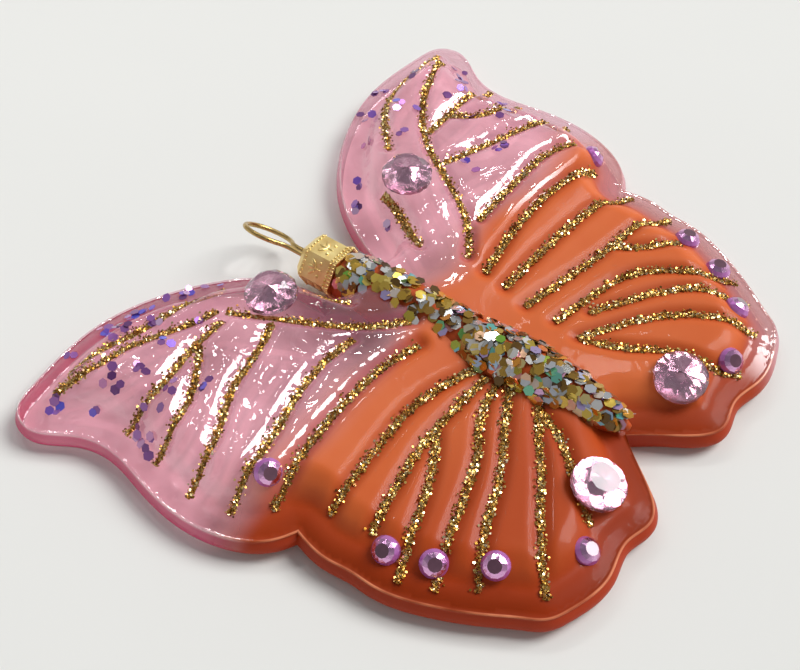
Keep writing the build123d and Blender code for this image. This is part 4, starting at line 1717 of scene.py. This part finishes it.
@dataclass
class Studio:
    """The floor, the soft light and the camera. Lamps and the floor are in metres."""

    lens: float = 58.5
    sensor: float = 36.0
    clip_start: float = 0.01
    place: Place = (-123.0396, -89.6933, 197.3204)
    right: Place = (0.621863, -0.783025, -0.012565)
    up: Place = (0.622715, 0.484692, 0.614248)
    back: Place = (-0.474881, -0.389803, 0.789013)
    daylight_place: Place = (0.72, -0.42, 0.86)
    daylight_width_deg: float = 32.0
    daylight_power: float = 2.75
    lamp_places: tuple[Place, ...] = ((0.26, 0.3, 0.55), (0.1, 0.38, 0.52), (0.38, 0.14, 0.55))
    lamp_size: float = 0.05
    lamp_power: float = 0.24
    room_power: float = 0.76
    room_stops: Stops = (
        (0.03, (1.0, 0.99, 0.97, 1.0)), (0.22, (0.62, 0.61, 0.6, 1.0)), (0.8, (0.25, 0.255, 0.27, 1.0)),
    )
    floor_half: float = 3.0
    floor_drop: float = 0.0002

    def add_camera(self) -> None:
        """Set the camera at the photograph's viewing angle."""
        data = bpy.data.cameras.new("view_camera")
        data.lens = self.lens
        data.sensor_width = self.sensor
        data.clip_start = self.clip_start
        camera = bpy.data.objects.new("view_camera", data)
        turn = Matrix((self.right, self.up, self.back)).transposed().to_4x4()
        camera.matrix_world = Matrix.Translation(Vector(self.place) * MM) @ turn
        bpy.context.scene.collection.objects.link(camera)
        bpy.context.scene.camera = camera

    def add_light(self, name: str, kind: str, place: Place, **settings: float) -> None:
        """Hang a light that faces the ornament.

        Args:
            name: The light's name.
            kind: Its type.
            place: Where it hangs.
            settings: Its other properties.
        """
        data = bpy.data.lights.new(name, kind)
        for key, value in settings.items():
            setattr(data, key, value)
        light = bpy.data.objects.new(name, data)
        light.location = place
        light.rotation_euler = (-Vector(place)).to_track_quat("-Z", "Y").to_euler()
        bpy.context.scene.collection.objects.link(light)

    def add_room(self) -> None:
        """Surround the scene with pale walls and a dimmer ceiling."""
        world = bpy.data.worlds.new("soft_room")
        bpy.context.scene.world = world
        world.use_nodes = True
        nodes, links = world.node_tree.nodes, world.node_tree.links
        ways = nodes.new("ShaderNodeTexCoord")
        split = nodes.new("ShaderNodeSeparateXYZ")
        ramp = nodes.new("ShaderNodeValToRGB")
        links.new(ways.outputs["Generated"], split.inputs[0])
        links.new(split.outputs["Z"], ramp.inputs[0])
        links.new(ramp.outputs["Color"], nodes["Background"].inputs["Color"])
        nodes["Background"].inputs["Strength"].default_value = self.room_power
        ramp.color_ramp.elements.new(1.0)
        for element, (position, colour) in zip(ramp.color_ramp.elements, self.room_stops):
            element.position = position
            element.color = colour

    def build(self) -> None:
        """Lay the floor, light the scene and set the camera."""
        half = self.floor_half
        corners = [(-half, -half, 0), (half, -half, 0), (half, half, 0), (-half, half, 0)]
        mesh = bpy.data.meshes.new("floor")
        mesh.from_pydata(corners, [], [(0, 1, 2, 3)])
        floor = link_mesh("floor", mesh, PaperFinish().material())
        floor.location.z = -self.floor_drop
        width = math.radians(self.daylight_width_deg)
        self.add_light("daylight", "SUN", self.daylight_place, angle=width, energy=self.daylight_power)
        for number, place in enumerate(self.lamp_places, 1):
            name = f"window_lamp_{number}"
            self.add_light(name, "AREA", place, size=self.lamp_size, energy=self.lamp_power)
        self.add_room()
        self.add_camera()
        bpy.context.scene.view_settings.view_transform = "Standard"


def dress_solid(solid: bpy.types.Object, finish: Material) -> None:
    """Give a solid that stays in view its finish."""
    solid.data.materials.clear()
    solid.data.materials.append(finish)


def main() -> None:
    """Build each piece in order and report it."""
    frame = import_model()
    rng = np.random.default_rng(SEED)
    axis = BodyAxis()
    surface = WingSurface(axis)
    glass = LacqueredGlass().material()
    GlassWings(surface).dress(glass)
    GlassBody(axis).dress(glass)
    gold = FlakeFinish("gold_flakes", GOLD_STOPS, roughness=0.22, metallic=0.95)
    GlitterVeins(surface, rng).dress(GlueFinish().material(), gold.material())
    GemTrim(surface).dress()
    film = FlakeFinish("holographic_film", HOLO_STOPS, roughness=0.16, metallic=0.72)
    BodySequins(surface, axis, rng).dress(film.material())
    purple = FlakeFinish("purple_film", PURPLE_STOPS, roughness=0.2, metallic=0.55)
    Confetti(surface, rng).dress(purple.material())
    cap = MetalFinish("stamped_gold", tint(255, 242, 178), tint(236, 192, 108), roughness=0.36).material()
    dress_solid(frame["nodes"]["neck_cap"], cap)
    CapRelief(axis).dress(cap)
    brass = MetalFinish("drawn_brass", tint(226, 198, 132), tint(150, 116, 56), roughness=0.26).material()
    dress_solid(frame["nodes"]["hanger_wire"], brass)
    Studio().build()


if __name__ == "__main__":
    main()
